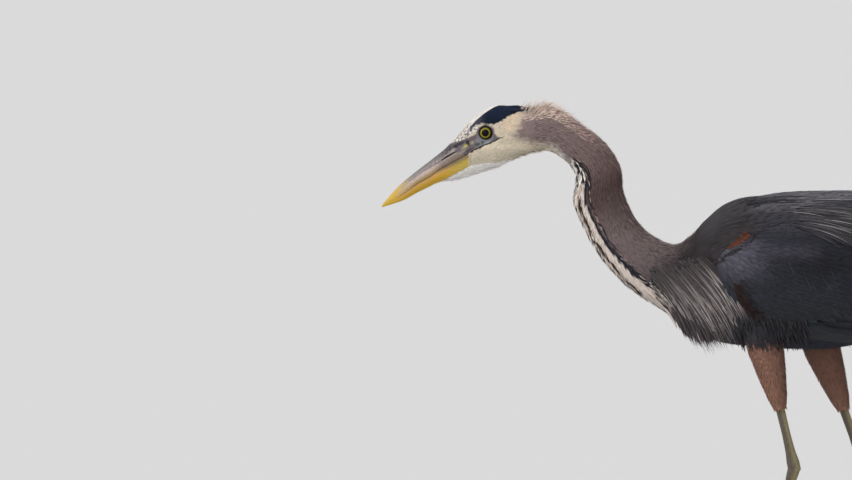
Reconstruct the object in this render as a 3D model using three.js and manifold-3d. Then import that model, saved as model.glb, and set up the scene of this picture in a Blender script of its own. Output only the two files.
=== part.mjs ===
// Great blue heron, life size, standing as it stalks with its neck stretched forward.
// Millimetres. The bird faces -Y, its left side is +X, and the floor is at Z = 0.
import * as THREE from 'three';
import { mergeVertices } from 'three/addons/utils/BufferGeometryUtils.js';
import Module from 'manifold-3d';

const wasm = await Module();
wasm.setup();

// ---------------------------------------------------------------- driving dimensions
const GAP = 0.3; // clearance between neighbouring solids
const BODY_SIDES = 20; // corners round the neck and trunk
const TAIL_TIP = 473; // how far behind the origin the tail ends
const TAIL_BLADES = 3; // on each side of the middle one
const TAIL_WIDTHS = [14, 22, 33]; // from the middle to the outer blade, at root, middle and tip
const EYE_AT = [16.2, -331, 638.5]; // centre of the left eyeball
const EYE_RADIUS = 10.4;
const TARSUS_LENGTH = 176;
const TIBIA_LENGTH = 232;
const FOOT_SPREAD = 43; // each foot from the middle plane
// Along each bone of the leg: how far up it as a fraction, and the radius there.
const TARSUS_PROFILE = [
	[-0.02, 7.4], [0.07, 5.6], [0.2, 4.7], [0.55, 4.5], [0.84, 5.4], [0.94, 7.7], [1.02, 8],
];
const TIBIA_PROFILE = [[-0.02, 8], [0.035, 8.6], [0.09, 6.7], [0.2, 5.6], [0.36, 6]];
const THIGH_PROFILE = [[0.362, 9], [0.42, 14], [0.55, 20.5], [0.72, 28], [0.9, 34], [1, 34]];
const PAD_RADIUS = 12.5; // the foot's round pad, where the toes meet
const PAD_HEIGHT = 15;
const TOE_BASE_RADIUS = 3.4;
const TOE_TIP_RADIUS = 3.0;
const TOE_BULGES = 3.5; // swellings along a toe
const CLAW_RADIUS = 2.4;
const TOES = [
	{ name: 'inner', turn: 35, length: 84, claw: 15 },
	{ name: 'middle', turn: 1, length: 103, claw: 16 },
	{ name: 'outer', turn: -33, length: 88, claw: 14 },
	{ name: 'hind', turn: 170, length: 58, claw: 20 },
];
// A leg's foot and ankle along the body, and the lean of its shank, from the hidden knee down.
const LEGS = {
	left: { side: 1, footY: 38, ankleY: 88, kneeY: 34 },
	right: { side: -1, footY: 128, ankleY: 186, kneeY: 108 },
};

// Outline of the flesh and its close feathers from the bill to the tail root. Each row is one
// oval: its upper point y, z, its lower point y, z, its half width, and how far its widest
// level sits below the middle, as a fraction.
const OVALS = [
	[-381, 621, -395, 570, 13.5, 0.1], // 0 bill base
	[-363, 642, -368, 575, 18.0, 0.12], // 1 lores
	[-340, 664, -338, 584, 21.5, 0.1], // 2 eyes
	[-317, 675, -313, 592, 23.5, 0.08], // 3 crown
	[-295, 674, -288, 604, 23.0, 0.0], // 4 back of the crown
	[-270, 672, -268, 611, 22.5, 0.0], // 5 nape
	[-246, 675, -249, 613, 22.0, 0.0], // 6
	[-221, 664, -238, 610, 21.5, 0.0], // 7
	[-198, 647, -226, 602, 21.5, 0.0], // 8 bend of the neck
	[-174, 630, -215, 592, 22.0, 0.0], // 9
	[-156, 608, -208, 580, 22.5, 0.0], // 10
	[-146, 585, -209, 563, 23.5, 0.0], // 11
	[-144, 560, -211, 544, 24.5, 0.0], // 12
	[-134, 534, -202, 519, 26.0, 0.0], // 13
	[-118, 510, -183, 482, 29.0, 0.0], // 14
	[-97, 494, -158, 449, 33.0, 0.0], // 15
	[-74, 486, -128, 420, 39.0, 0.0], // 16 base of the neck
	[-54, 496, -94, 398, 49.0, 0.0], // 17
	[-32, 518, -56, 374, 62.0, 0.0], // 18 breast
	[0, 539, -13, 353, 75.0, 0.05], // 19 shoulders
	[48, 549, 49, 346, 84.0, 0.08], // 20
	[117, 552, 117, 343, 87.0, 0.08], // 21
	[172, 552, 178, 351, 84.0, 0.06], // 22
	[233, 548, 240, 374, 74.0, 0.04], // 23
	[294, 536, 287, 412, 59.0, 0.0], // 24 rump
	[348, 519, 334, 449, 40.0, 0.0], // 25
	[384, 507, 378, 474, 28.0, 0.0], // 26 tail root
];
const HEAD_TO = 4.4;
const NECK_CUTS = [4.4, 8.4, 11.6, 14.2, 16.6];

// Bill edges, from the face (0) to the tip: y, z of the ridge, of the upper jaw's lip and of the keel.
const RIDGE = [[-381, 621], [-404, 601.8], [-428, 583.2], [-451, 563.4], [-472.6, 538.8]];
const LIP = [[-389.4, 590.5], [-406, 578.8], [-424, 568.5], [-450, 550.2], [-472.8, 537.6]];
const KEEL = [[-395, 570], [-408, 564], [-424.5, 556], [-444, 545.5], [-471.5, 536.6]];
const BILL_HALF_WIDTHS = [12.8, 9.4, 6.8, 4.1, 0.9];

// Folded wing as a curved shell: y, height of the curve's middle, half height, half width,
// thickness, upper edge z and lower edge z.
const WING = [
	[-24, 462, 84, 66, 4.0, 482, 448],
	[-14, 460, 92, 77, 8.0, 503, 424],
	[8, 457, 99, 88, 10.0, 524, 403],
	[45, 454, 105, 96, 11.0, 538, 389],
	[100, 452, 108, 99, 11.0, 545, 377],
	[150, 451, 109, 98, 11.0, 547, 364],
	[195, 453, 107, 94, 10.5, 546, 359],
	[245, 460, 96, 86, 9.5, 542, 374],
	[295, 468, 82, 75, 8.5, 534, 401],
	[345, 476, 66, 62, 7.0, 522, 430],
	[395, 483, 48, 48, 5.5, 507, 455],
	[440, 487, 32, 36, 4.0, 493, 472],
	[458, 488, 26, 32, 2.5, 487, 478],
];
const WING_STEPS = 13;
// Side views, as y, z, of the lines where the coverts end, and where the secondaries do.
const COVERT_EDGE = [[60, 320], [95, 400], [230, 462], [270, 500], [285, 580]];
const SECONDARY_EDGE = [[250, 320], [305, 440], [345, 580]];
// Long feathers of the back, laid over the wing's upper edge: the same columns as WING.
const MANTLE = [
	[6, 455, 92, 82, 2.0, 540, 528],
	[30, 452, 101, 93, 5.0, 552, 519],
	[75, 450, 108, 101, 7.0, 558, 507],
	[140, 450, 109.5, 104, 7.5, 560, 497],
	[200, 452, 107, 101, 7.5, 560, 494],
	[250, 458, 97.5, 92, 7.0, 556, 498],
	[300, 466, 82, 80, 6.0, 548, 506],
	[345, 474, 65, 66, 4.5, 538, 510],
	[378, 480, 52, 55, 2.2, 530, 514],
];
const MANTLE_STEPS = 10;
// Side view of the plumes that hang over the breast: y, z corners, with a comb of pointed tips.
const PLUMES = [
	[-150, 380], [-60, 320], [-30, 340], [-36, 356], [-9, 343], [-17, 362], [4, 349], [-5, 370],
	[17, 364], [4, 384], [26, 387], [6, 400], [20, 410], [-8, 420], [-40, 436], [-84, 446],
];
const PLUME_DEPTH = 10.5;
const PLUME_ROWS = [15.4, 19.2, 20.6]; // oval rows where they start to rise, are full and end

const COLOURS = {
	grey_plumage: { color: 0x7d7474, roughness: 0.85 },
	neck_plumage: { color: 0x8b7f7c, roughness: 0.85 },
	head_plumage: { color: 0xd9d2c0, roughness: 0.85 },
	flight_plumage: { color: 0x3b404d, roughness: 0.75 },
	rufous_plumage: { color: 0x8a4a2e, roughness: 0.85 },
	bill_horn: { color: 0xc9a040, roughness: 0.45 },
	eye_gloss: { color: 0xe6c730, roughness: 0.1 },
	leg_scales: { color: 0x5a5347, roughness: 0.65 },
	claw_horn: { color: 0x2b2724, roughness: 0.4 },
};

// ---------------------------------------------------------------- general helpers
const bird = new THREE.Group();
const materials = {};
for (const [name, look] of Object.entries(COLOURS)) {
	materials[name] = new THREE.MeshStandardMaterial({ ...look, metalness: 0 });
}

function addMesh(name, geometry, material) {
	const mesh = new THREE.Mesh(geometry, materials[material]);
	mesh.name = name;
	bird.add(mesh);
	return mesh;
}

// Closed solid through rings of points, every ring with the same count, capped flat at both ends.
function loft(rings) {
	const count = rings[0].length;
	const positions = rings.flat().flatMap((p) => [p.x, p.y, p.z]);
	const index = [];
	for (let r = 0; r < rings.length - 1; r++) {
		for (let i = 0; i < count; i++) {
			const a = r * count + i;
			const b = r * count + ((i + 1) % count);
			index.push(a, b, a + count, b, b + count, a + count);
		}
	}
	const caps = [rings[0], rings[rings.length - 1]];
	caps.forEach((ring, end) => {
		const flat = flattened(ring);
		const start = end * (rings.length - 1) * count;
		const clockwise = THREE.ShapeUtils.isClockWise(flat);
		for (const face of THREE.ShapeUtils.triangulateShape(flat, [])) {
			const [a, b, c] = face.map((i) => i + start);
			index.push(...((end === 0) === clockwise ? [a, b, c] : [a, c, b]));
		}
	});
	const geometry = new THREE.BufferGeometry();
	geometry.setAttribute('position', new THREE.Float32BufferAttribute(positions, 3));
	geometry.setIndex(index);
	return outward(geometry);
}

// A ring's corners in the plane that it lies in.
function flattened(ring) {
	const middle = new THREE.Vector3();
	ring.forEach((p) => middle.addScaledVector(p, 1 / ring.length));
	const normal = new THREE.Vector3();
	ring.forEach((p, i) => {
		const next = ring[(i + 1) % ring.length];
		normal.add(p.clone().sub(middle).cross(next.clone().sub(middle)));
	});
	normal.normalize();
	const u = ring[0].clone().sub(middle).projectOnPlane(normal).normalize();
	const v = normal.clone().cross(u);
	return ring.map((p) => new THREE.Vector2(p.clone().sub(middle).dot(u), p.clone().sub(middle).dot(v)));
}

function signedVolume(geometry) {
	const p = geometry.attributes.position;
	const index = geometry.index.array;
	const corner = (i) => new THREE.Vector3().fromBufferAttribute(p, index[i]);
	let volume = 0;
	for (let i = 0; i < index.length; i += 3) {
		volume += corner(i).dot(corner(i + 1).cross(corner(i + 2))) / 6;
	}
	return volume;
}

// Turns a solid's faces so that they point out.
function outward(geometry) {
	if (signedVolume(geometry) < 0) {
		const index = geometry.index.array;
		for (let i = 0; i < index.length; i += 3) {
			[index[i], index[i + 1]] = [index[i + 1], index[i]];
		}
	}
	return geometry;
}

function mirrored(geometry) {
	return outward(geometry.clone().scale(-1, 1, 1));
}

function toManifold(geometry) {
	const bare = geometry.clone();
	bare.deleteAttribute('normal');
	bare.deleteAttribute('uv');
	const merged = mergeVertices(bare, 1e-4);
	const vertProperties = new Float32Array(merged.attributes.position.array);
	const triVerts = new Uint32Array(merged.index.array);
	return new wasm.Manifold(new wasm.Mesh({ numProp: 3, vertProperties, triVerts }));
}

function fromManifold(solid) {
	const mesh = solid.getMesh();
	const geometry = new THREE.BufferGeometry();
	geometry.setAttribute('position', new THREE.Float32BufferAttribute(mesh.vertProperties, 3));
	geometry.setIndex([...mesh.triVerts]);
	return geometry;
}

function largest(solid) {
	return solid.decompose().sort((a, b) => b.volume() - a.volume())[0];
}

// Every solid of the list in one.
function joined(geometries) {
	return geometries.map(toManifold).reduce((whole, solid) => whole.add(solid));
}

// Smooth values between the rows of a table: the row position u is 0 at the first row.
function sampler(rows) {
	const last = rows.length - 1;
	const columns = rows[0].map((_, c) => rows.map((row) => row[c]));
	return (u) => {
		const i = Math.min(Math.floor(u), last - 1);
		const t = u - i;
		return columns.map((values) => {
			const at = (k) => values[Math.max(0, Math.min(last, k))];
			const [a, b, c, d] = [at(i - 1), at(i), at(i + 1), at(i + 2)];
			return b + 0.5 * t * (c - a + t * (2 * a - 5 * b + 4 * c - d + t * (3 * (b - c) + d - a)));
		});
	};
}

// ---------------------------------------------------------------- head, neck and trunk
const oval = sampler(OVALS);

function ovalRing(u, grow = 0) {
	const [topY, topZ, lowY, lowZ, halfWidth, egg] = oval(u);
	const middle = new THREE.Vector3(0, (topY + lowY) / 2, (topZ + lowZ) / 2);
	const up = new THREE.Vector3(0, (topY - lowY) / 2, (topZ - lowZ) / 2);
	up.setLength(up.length() + grow);
	return Array.from({ length: BODY_SIDES }, (_, i) => {
		const a = (2 * Math.PI * i) / BODY_SIDES;
		const x = (halfWidth + grow) * Math.sin(a) * (1 - egg * Math.cos(a));
		return middle.clone().addScaledVector(up, Math.cos(a)).setX(x);
	});
}

// A length of the body between two rows of the table, about two rings to a row.
function bodyLength(from, to, grow = 0, ringsPerRow = 1.5) {
	const steps = Math.max(3, Math.round((to - from) * ringsPerRow));
	return loft(Array.from({ length: steps + 1 }, (_, i) => ovalRing(from + ((to - from) * i) / steps, grow)));
}

// The row position that lies GAP further on than u along the shorter side of the bend.
function pastGap(u) {
	const a = oval(u);
	const b = oval(u + 0.01);
	const upper = Math.hypot(b[0] - a[0], b[1] - a[1]);
	const lower = Math.hypot(b[2] - a[2], b[3] - a[3]);
	return u + (0.01 * GAP) / Math.min(upper, lower);
}

function eyeball(side, radius) {
	const ball = new THREE.SphereGeometry(radius, 14, 8);
	ball.rotateZ(-Math.PI / 2);
	ball.translate(side * EYE_AT[0], EYE_AT[1], EYE_AT[2]);
	return ball;
}

function buildHead() {
	let head = toManifold(bodyLength(0, HEAD_TO, 0, 1.8));
	for (const side of [1, -1]) {
		head = head.subtract(toManifold(eyeball(side, EYE_RADIUS + GAP)));
		addMesh(side > 0 ? 'eye_left' : 'eye_right', eyeball(side, EYE_RADIUS), 'eye_gloss');
	}
	addMesh('head', fromManifold(head), 'head_plumage');
}

function buildNeck() {
	const names = ['neck_nape', 'neck_bend', 'neck_middle', 'neck_base'];
	names.forEach((name, i) => {
		addMesh(name, bodyLength(pastGap(NECK_CUTS[i]), NECK_CUTS[i + 1]), 'neck_plumage');
	});
}

function trunkLoft(grow = 0) {
	return bodyLength(pastGap(NECK_CUTS[4]) - grow / 40, OVALS.length - 1, grow);
}

// ---------------------------------------------------------------- bill
const halfWidthOfBill = sampler(BILL_HALF_WIDTHS.map((w) => [w]));
const ridge = sampler(RIDGE);
const lip = sampler(LIP);
const keel = sampler(KEEL);

// One jaw: half an oval between its lips, domed towards the ridge or the keel.
function buildJaw(name, edge, upper) {
	const steps = 10;
	const arc = 9;
	const last = RIDGE.length - 1;
	const rings = Array.from({ length: steps + 1 }, (_, s) => {
		const u = (last * s) / steps;
		const [edgeY, edgeZ] = edge(u);
		const [lipY, lipZ] = lip(u);
		const width = halfWidthOfBill(u)[0];
		const out = new THREE.Vector3(0, edgeY - lipY, edgeZ - lipZ);
		const shift = out.clone().setLength(GAP / 2);
		// the face end keeps clear of the head
		const forward = new THREE.Vector3(0, -GAP, 0).multiplyScalar(s === 0 ? 1.3 : 0);
		return Array.from({ length: arc }, (_, i) => {
			const a = (Math.PI * i) / (arc - 1) - Math.PI / 2;
			const x = width * Math.sin(a) * (upper ? 1 : 0.94);
			return new THREE.Vector3(x, lipY, lipZ).add(shift).add(forward).addScaledVector(out, Math.cos(a));
		});
	});
	addMesh(name, loft(rings), 'bill_horn');
}

// ---------------------------------------------------------------- wings and long back feathers
// A curved shell of vertical slices. Each slice is an arc of an oval round the trunk.
function shellRings(rows, steps, { grow = 0, arcPoints = 7 } = {}) {
	const row = sampler(rows);
	const last = rows.length - 1;
	return Array.from({ length: steps + 1 }, (_, s) => {
		const [y, middle, halfHeight, halfWidth, thick, upper, lower] = row((last * s) / steps);
		const end = (s === 0 ? -1 : s === steps ? 1 : 0) * grow;
		const angle = (z) => Math.acos(THREE.MathUtils.clamp((z - middle) / halfHeight, -1, 0.99999));
		const from = angle(upper + grow);
		const to = angle(lower - grow);
		const arc = (depth) =>
			Array.from({ length: arcPoints }, (_, i) => {
				const a = from + ((to - from) * i) / (arcPoints - 1);
				const x = (halfWidth - depth) * Math.sin(a);
				return new THREE.Vector3(x, y + end, middle + (halfHeight - depth) * Math.cos(a));
			});
		return [...arc(-grow), ...arc(thick + grow).reverse()];
	});
}

function shell(rows, steps, options) {
	return toManifold(loft(shellRings(rows, steps, options)));
}

// A long flat cutter along X whose side view is the given outline of y, z corners.
function cutter(outline) {
	const shape = new THREE.Shape(outline.map(([y, z]) => new THREE.Vector2(y, z)));
	const prism = new THREE.ExtrudeGeometry(shape, { depth: 300, bevelEnabled: false });
	// shape x, y become world Y, Z, and the depth runs along X
	prism.applyMatrix4(new THREE.Matrix4().set(0, 0, 1, -150, 1, 0, 0, 0, 0, 1, 0, 0, 0, 0, 0, 1));
	return toManifold(outward(indexed(prism)));
}

function indexed(geometry) {
	const bare = geometry.clone();
	bare.deleteAttribute('normal');
	bare.deleteAttribute('uv');
	return mergeVertices(bare, 1e-4);
}

// A thin cut along a rising line of y, z corners.
function slit(line) {
	const there = line.map(([y, z]) => [y - GAP, z]);
	const back = line.map(([y, z]) => [y + GAP, z]).reverse();
	return cutter([...there, ...back]);
}

function buildWings(trunkGrown) {
	const covered = shell(MANTLE, MANTLE_STEPS, { grow: GAP });
	let wing = shell(WING, WING_STEPS).subtract(trunkGrown).subtract(covered);
	wing = wing.subtract(slit(COVERT_EDGE)).subtract(slit(SECONDARY_EDGE));
	const pieces = wing.decompose().sort((a, b) => b.volume() - a.volume()).slice(0, 3);
	const middleY = (solid) => solid.boundingBox().min[1] + solid.boundingBox().max[1];
	pieces.sort((a, b) => middleY(a) - middleY(b));
	['coverts', 'secondaries', 'primaries'].forEach((part, i) => {
		const geometry = fromManifold(pieces[i]);
		addMesh(`wing_left_${part}`, geometry, 'flight_plumage');
		addMesh(`wing_right_${part}`, mirrored(geometry), 'flight_plumage');
	});
}

function buildMantle(trunkGrown) {
	const geometry = fromManifold(largest(shell(MANTLE, MANTLE_STEPS).subtract(trunkGrown)));
	addMesh('scapulars_left', geometry, 'grey_plumage');
	addMesh('scapulars_right', mirrored(geometry), 'grey_plumage');
}

// ---------------------------------------------------------------- single feathers
// A flat blade along a curve from its root to its tip. Its width swells and tapers.
function blade(points, width, thick, facing, steps = 3) {
	const path = new THREE.CatmullRomCurve3(points.map((p) => new THREE.Vector3(...p)));
	const face = new THREE.Vector3(...facing).normalize();
	const rings = Array.from({ length: steps + 1 }, (_, s) => {
		const t = s / steps;
		const at = path.getPoint(t);
		const across = path.getTangent(t).cross(face).normalize();
		const swell = Math.sin(Math.PI * (0.12 + 0.8 * Math.pow(t, 0.8)));
		const half = (width / 2) * Math.max(0.12, swell);
		const rise = (thick / 2) * (1 - 0.6 * t);
		return [[-1, 0], [0, 1], [1, 0], [0, -1]].map(([a, b]) =>
			at.clone().addScaledVector(across, a * half).addScaledVector(face, b * rise)
		);
	});
	return loft(rings);
}

// The breast plumes with all that lies inside them.
function plumeSolid(grow) {
	const [from, full, to] = PLUME_ROWS;
	const steps = 8;
	const rings = Array.from({ length: steps + 1 }, (_, i) => {
		const u = from + ((to - from) * i) / steps;
		return ovalRing(u, grow + PLUME_DEPTH * THREE.MathUtils.smoothstep(u, from, full));
	});
	return toManifold(loft(rings)).intersect(cutter(PLUMES));
}

// Lance-shaped plumes that hang over the breast from the base of the neck.
function buildBreastPlumes(trunkGrown, wingGrown) {
	const outer = plumeSolid(0);
	const neckGrown = toManifold(bodyLength(14.5, NECK_CUTS[4] + 0.1, GAP));
	const plumes = largest(outer.subtract(trunkGrown).subtract(neckGrown).subtract(wingGrown));
	addMesh('breast_plumes', fromManifold(plumes), 'grey_plumage');
}

// Tail feathers, folded into a narrow fan that starts under the trunk's end.
function buildTail(trunkGrown, wingsGrown) {
	const blades = [];
	for (let i = -TAIL_BLADES; i <= TAIL_BLADES; i++) {
		const f = i / TAIL_BLADES; // -1 at the right edge, 0 in the middle, 1 at the left edge
		const drop = 7 * f * f;
		const shorter = 9 * f * f;
		const [root, middle, tip] = TAIL_WIDTHS.map((width) => f * width);
		const path = [[root, 345, 484 - drop], [middle, 405, 478 - drop], [tip, TAIL_TIP - shorter, 466 - drop]];
		blades.push(blade(path, 27, 5, [0.35 * f, 0, 1]));
	}
	const tail = largest(joined(blades).subtract(trunkGrown).subtract(wingsGrown));
	addMesh('tail', fromManifold(tail), 'flight_plumage');
}

// ---------------------------------------------------------------- legs and feet
// A round limb along straight stretches between stations of [x, y, z, radius].
function limb(stations, sides = 10) {
	const points = stations.map(([x, y, z]) => new THREE.Vector3(x, y, z));
	return loft(
		stations.map(([, , , radius], i) => {
			const before = points[Math.max(0, i - 1)];
			const after = points[Math.min(points.length - 1, i + 1)];
			const along = after.clone().sub(before).normalize();
			const across = new THREE.Vector3(1, 0, 0).projectOnPlane(along).normalize();
			const third = along.clone().cross(across);
			return Array.from({ length: sides }, (_, k) => {
				const a = (2 * Math.PI * k) / sides;
				const out = across.clone().multiplyScalar(radius * Math.cos(a));
				return points[i].clone().add(out).addScaledVector(third, radius * Math.sin(a));
			});
		})
	);
}

// Stations of a leg bone between its lower and upper joint.
function stations(lower, upper, profile) {
	const from = new THREE.Vector3(...lower);
	const to = new THREE.Vector3(...upper);
	return profile.map(([t, radius]) => [...from.clone().lerp(to, t).toArray(), radius]);
}

// The point that a bone of this length reaches up to, when it leans as far back or forward as toY.
function jointAbove([x, y, z], toY, length) {
	return [x, toY, z + Math.sqrt(length ** 2 - (toY - y) ** 2)];
}

function buildLeg(name, leg, coverGrown) {
	const padTop = [leg.side * FOOT_SPREAD, leg.footY, PAD_HEIGHT];
	const ankle = jointAbove(padTop, leg.ankleY, TARSUS_LENGTH);
	const knee = jointAbove(ankle, leg.kneeY, TIBIA_LENGTH);

	const tarsus = toManifold(limb(stations(padTop, ankle, TARSUS_PROFILE)));
	const between = tarsus.subtract(slab(ankle, 1)).subtract(slab(padTop, -1));
	addMesh(`tarsus_${name}`, fromManifold(between), 'leg_scales');

	const tibia = toManifold(limb(stations(ankle, knee, TIBIA_PROFILE)));
	addMesh(`tibia_${name}`, fromManifold(tibia.subtract(slab(ankle, -1))), 'leg_scales');

	const thigh = toManifold(limb(stations(ankle, knee, THIGH_PROFILE), 12));
	const lowest = (solid) => solid.boundingBox().min[2];
	const visible = thigh.subtract(coverGrown).decompose().sort((a, b) => lowest(a) - lowest(b))[0];
	addMesh(`thigh_${name}`, fromManifold(visible), 'rufous_plumage');
	buildFoot(name, leg);
}

// A block over (1) or under (-1) the level of a joint, less its share of the gap there.
function slab(at, side) {
	const depth = 60;
	const box = new THREE.BoxGeometry(depth, depth, depth);
	box.translate(at[0], at[1], at[2] + side * (depth / 2 - GAP / 2));
	return toManifold(box);
}

// A toe with a flat sole: an arch-shaped section that swells a little at each joint.
function toeRings(length, from, baseRadius, tipRadius) {
	const steps = 7;
	return Array.from({ length: steps + 1 }, (_, s) => {
		const t = s / steps;
		const bulge = 1 + 0.11 * Math.cos(2 * Math.PI * TOE_BULGES * t);
		const radius = (baseRadius + (tipRadius - baseRadius) * t) * bulge;
		const along = from + (length - from) * t;
		const arc = Array.from({ length: 6 }, (_, i) => {
			const a = (Math.PI * i) / 5;
			return new THREE.Vector3(radius * Math.cos(a), -along, radius * (0.45 + 1.35 * Math.sin(a)));
		});
		return [new THREE.Vector3(radius * 0.72, -along, 0), ...arc, new THREE.Vector3(-radius * 0.72, -along, 0)];
	});
}

// A curved claw whose point comes down to the floor.
function clawRings(length, start, radius) {
	const steps = 4;
	return Array.from({ length: steps + 1 }, (_, s) => {
		const t = s / steps;
		const r = radius * (1 - 0.86 * t);
		const lift = radius * (0.9 + 0.5 * Math.sin(Math.PI * Math.min(1, 0.25 + 0.75 * t))) * (1 - t * t) + r;
		return Array.from({ length: 6 }, (_, i) => {
			const a = (2 * Math.PI * i) / 6;
			return new THREE.Vector3(r * 0.8 * Math.cos(a), -(start + length * t), lift + r * Math.sin(a));
		});
	});
}

function buildFoot(name, leg) {
	const x = leg.side * FOOT_SPREAD;
	const profile = [[0, 0], [PAD_RADIUS, 0], [PAD_RADIUS, 4.5], [10.4, 9], [7.6, PAD_HEIGHT], [0, PAD_HEIGHT]];
	const pad = new THREE.LatheGeometry(profile.map(([r, z]) => new THREE.Vector2(r, z)), 14);
	pad.rotateX(Math.PI / 2);
	pad.translate(x, leg.footY, 0);
	addMesh(`foot_${name}`, outward(indexed(pad)), 'leg_scales');
	for (const toe of TOES) {
		const turn = THREE.MathUtils.degToRad(toe.turn * leg.side);
		const place = (geometry) => geometry.rotateZ(-turn).translate(x, leg.footY, 0);
		const toeEnd = toe.length - toe.claw;
		const toeSolid = loft(toeRings(toeEnd, PAD_RADIUS + GAP, TOE_BASE_RADIUS, TOE_TIP_RADIUS));
		const clawSolid = loft(clawRings(toe.claw, toeEnd + GAP, CLAW_RADIUS));
		addMesh(`toe_${name}_${toe.name}`, place(toeSolid), 'leg_scales');
		addMesh(`claw_${name}_${toe.name}`, place(clawSolid), 'claw_horn');
	}
}

// ---------------------------------------------------------------- the whole bird
// Puts the origin under the middle of the whole bird's box, on the floor.
function centre() {
	const box = new THREE.Box3().setFromObject(bird);
	bird.position.set(-(box.min.x + box.max.x) / 2, -(box.min.y + box.max.y) / 2, -box.min.z);
}

const trunkGrown = toManifold(trunkLoft(GAP));
const wingGrown = loft(shellRings(WING, WING_STEPS, { grow: GAP }));
const wingsGrown = joined([wingGrown, mirrored(wingGrown)]);
buildHead();
buildJaw('bill_upper', ridge, true);
buildJaw('bill_lower', keel, false);
buildNeck();
addMesh('trunk', trunkLoft(), 'grey_plumage');
buildBreastPlumes(trunkGrown, wingsGrown);
buildMantle(trunkGrown);
buildWings(trunkGrown);
buildTail(trunkGrown, wingsGrown);
for (const [name, leg] of Object.entries(LEGS)) {
	buildLeg(name, leg, trunkGrown.add(wingsGrown).add(plumeSolid(GAP)));
}
centre();

export default bird;
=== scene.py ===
"""Great blue heron, life size: skin, bill, eyes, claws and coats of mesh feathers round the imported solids.

Shapes are worked out in millimetres in the frame of the model and are scaled to metres when a mesh is made.
The bird faces -Y, its left side is +X, and the floor is at Z = 0. Side views are of y and z.
"""
import math

import bpy
import numpy as np
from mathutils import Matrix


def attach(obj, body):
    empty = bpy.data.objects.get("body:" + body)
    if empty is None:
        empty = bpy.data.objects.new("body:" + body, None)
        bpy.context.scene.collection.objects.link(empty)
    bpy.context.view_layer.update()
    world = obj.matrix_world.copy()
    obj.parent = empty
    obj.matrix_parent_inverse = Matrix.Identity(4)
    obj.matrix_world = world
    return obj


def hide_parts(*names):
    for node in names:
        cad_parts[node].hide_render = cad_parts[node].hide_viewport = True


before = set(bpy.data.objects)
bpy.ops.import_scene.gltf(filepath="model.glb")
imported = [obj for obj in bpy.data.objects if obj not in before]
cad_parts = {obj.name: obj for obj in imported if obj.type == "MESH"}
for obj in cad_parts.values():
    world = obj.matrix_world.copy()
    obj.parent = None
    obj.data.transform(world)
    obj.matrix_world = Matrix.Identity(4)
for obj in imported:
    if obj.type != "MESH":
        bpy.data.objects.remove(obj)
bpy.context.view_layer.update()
rng = np.random.default_rng(11)

# ---------------------------------------------------------------- sizes, in millimetres
MM = 0.001
TURN = 2 * math.pi
# Bill, head, neck and trunk as ovals: upper point y, z, lower point y, z, half width, and how far the
# widest level sits below the middle, as a fraction. Row 0 is the face; the bill's rows come before it.
BILL_OVALS = [
    [-472.6, 538.8, -471.5, 536.6, 0.9, 0.0], [-451, 563.4, -444, 545.5, 4.1, 0.1],
    [-428, 583.2, -424.5, 556, 6.8, 0.1], [-404, 601.8, -408, 564, 9.4, 0.12],
]
BILL_ROWS = len(BILL_OVALS)
OVALS = [
    [-381, 621, -395, 570, 13.5, 0.1], [-363, 642, -368, 575, 18, 0.12], [-340, 664, -338, 584, 21.5, 0.1],
    [-317, 675, -313, 592, 23.5, 0.08], [-295, 674, -288, 604, 23, 0], [-270, 672, -268, 611, 22.5, 0],
    [-246, 675, -249, 613, 22, 0], [-221, 664, -238, 610, 21.5, 0], [-198, 647, -226, 602, 21.5, 0],
    [-174, 630, -215, 592, 22, 0], [-156, 608, -208, 580, 22.5, 0], [-146, 585, -209, 563, 23.5, 0],
    [-144, 560, -211, 544, 24.5, 0], [-134, 534, -202, 519, 26, 0], [-118, 510, -183, 482, 29, 0],
    [-97, 494, -158, 449, 33, 0], [-74, 486, -128, 420, 39, 0], [-54, 496, -94, 398, 49, 0],
    [-32, 518, -56, 374, 62, 0], [0, 539, -13, 353, 75, 0.05], [48, 549, 49, 346, 84, 0.08],
    [117, 552, 117, 343, 87, 0.08], [172, 552, 178, 351, 84, 0.06], [233, 548, 240, 374, 74, 0.04],
    [294, 536, 287, 412, 59, 0], [348, 519, 334, 449, 40, 0], [384, 507, 378, 474, 28, 0],
]
TAIL_ROOT = len(OVALS) - 1
# Where the jaws meet, and the corner of the mouth behind them: y, z.
LIP = [[-472.8, 537.6], [-450, 550.2], [-424, 568.5], [-406, 578.8], [-389.4, 590.5]]
GAPE = [[-389.4, 590.5], [-372, 599.5], [-358.2, 607.3], [-339.4, 617.1], [-321.5, 625.3], [-308, 632.6]]
MOUTH = LIP + GAPE[1:]
EYE_AT = np.array([16.2, -331, 638.5])
EYE_RADIUS = 10.4
PUPIL, IRIS, LID = 4.7, 7.5, 9.2  # radii round the eye's axis
# Folded wing: y, height of the oval's middle, half height, half width, thickness, upper and lower edge z.
WING = [
    [-24, 462, 84, 66, 4, 482, 448], [-14, 460, 92, 77, 8, 503, 424], [8, 457, 99, 88, 10, 524, 403],
    [45, 454, 105, 96, 11, 538, 389], [100, 452, 108, 99, 11, 545, 377], [150, 451, 109, 98, 11, 547, 364],
    [195, 453, 107, 94, 10.5, 546, 359], [245, 460, 96, 86, 9.5, 542, 374], [295, 468, 82, 75, 8.5, 534, 401],
    [345, 476, 66, 62, 7, 522, 430], [395, 483, 48, 48, 5.5, 507, 455], [440, 487, 32, 36, 4, 493, 472],
    [458, 488, 26, 32, 2.5, 487, 478],
]
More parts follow.
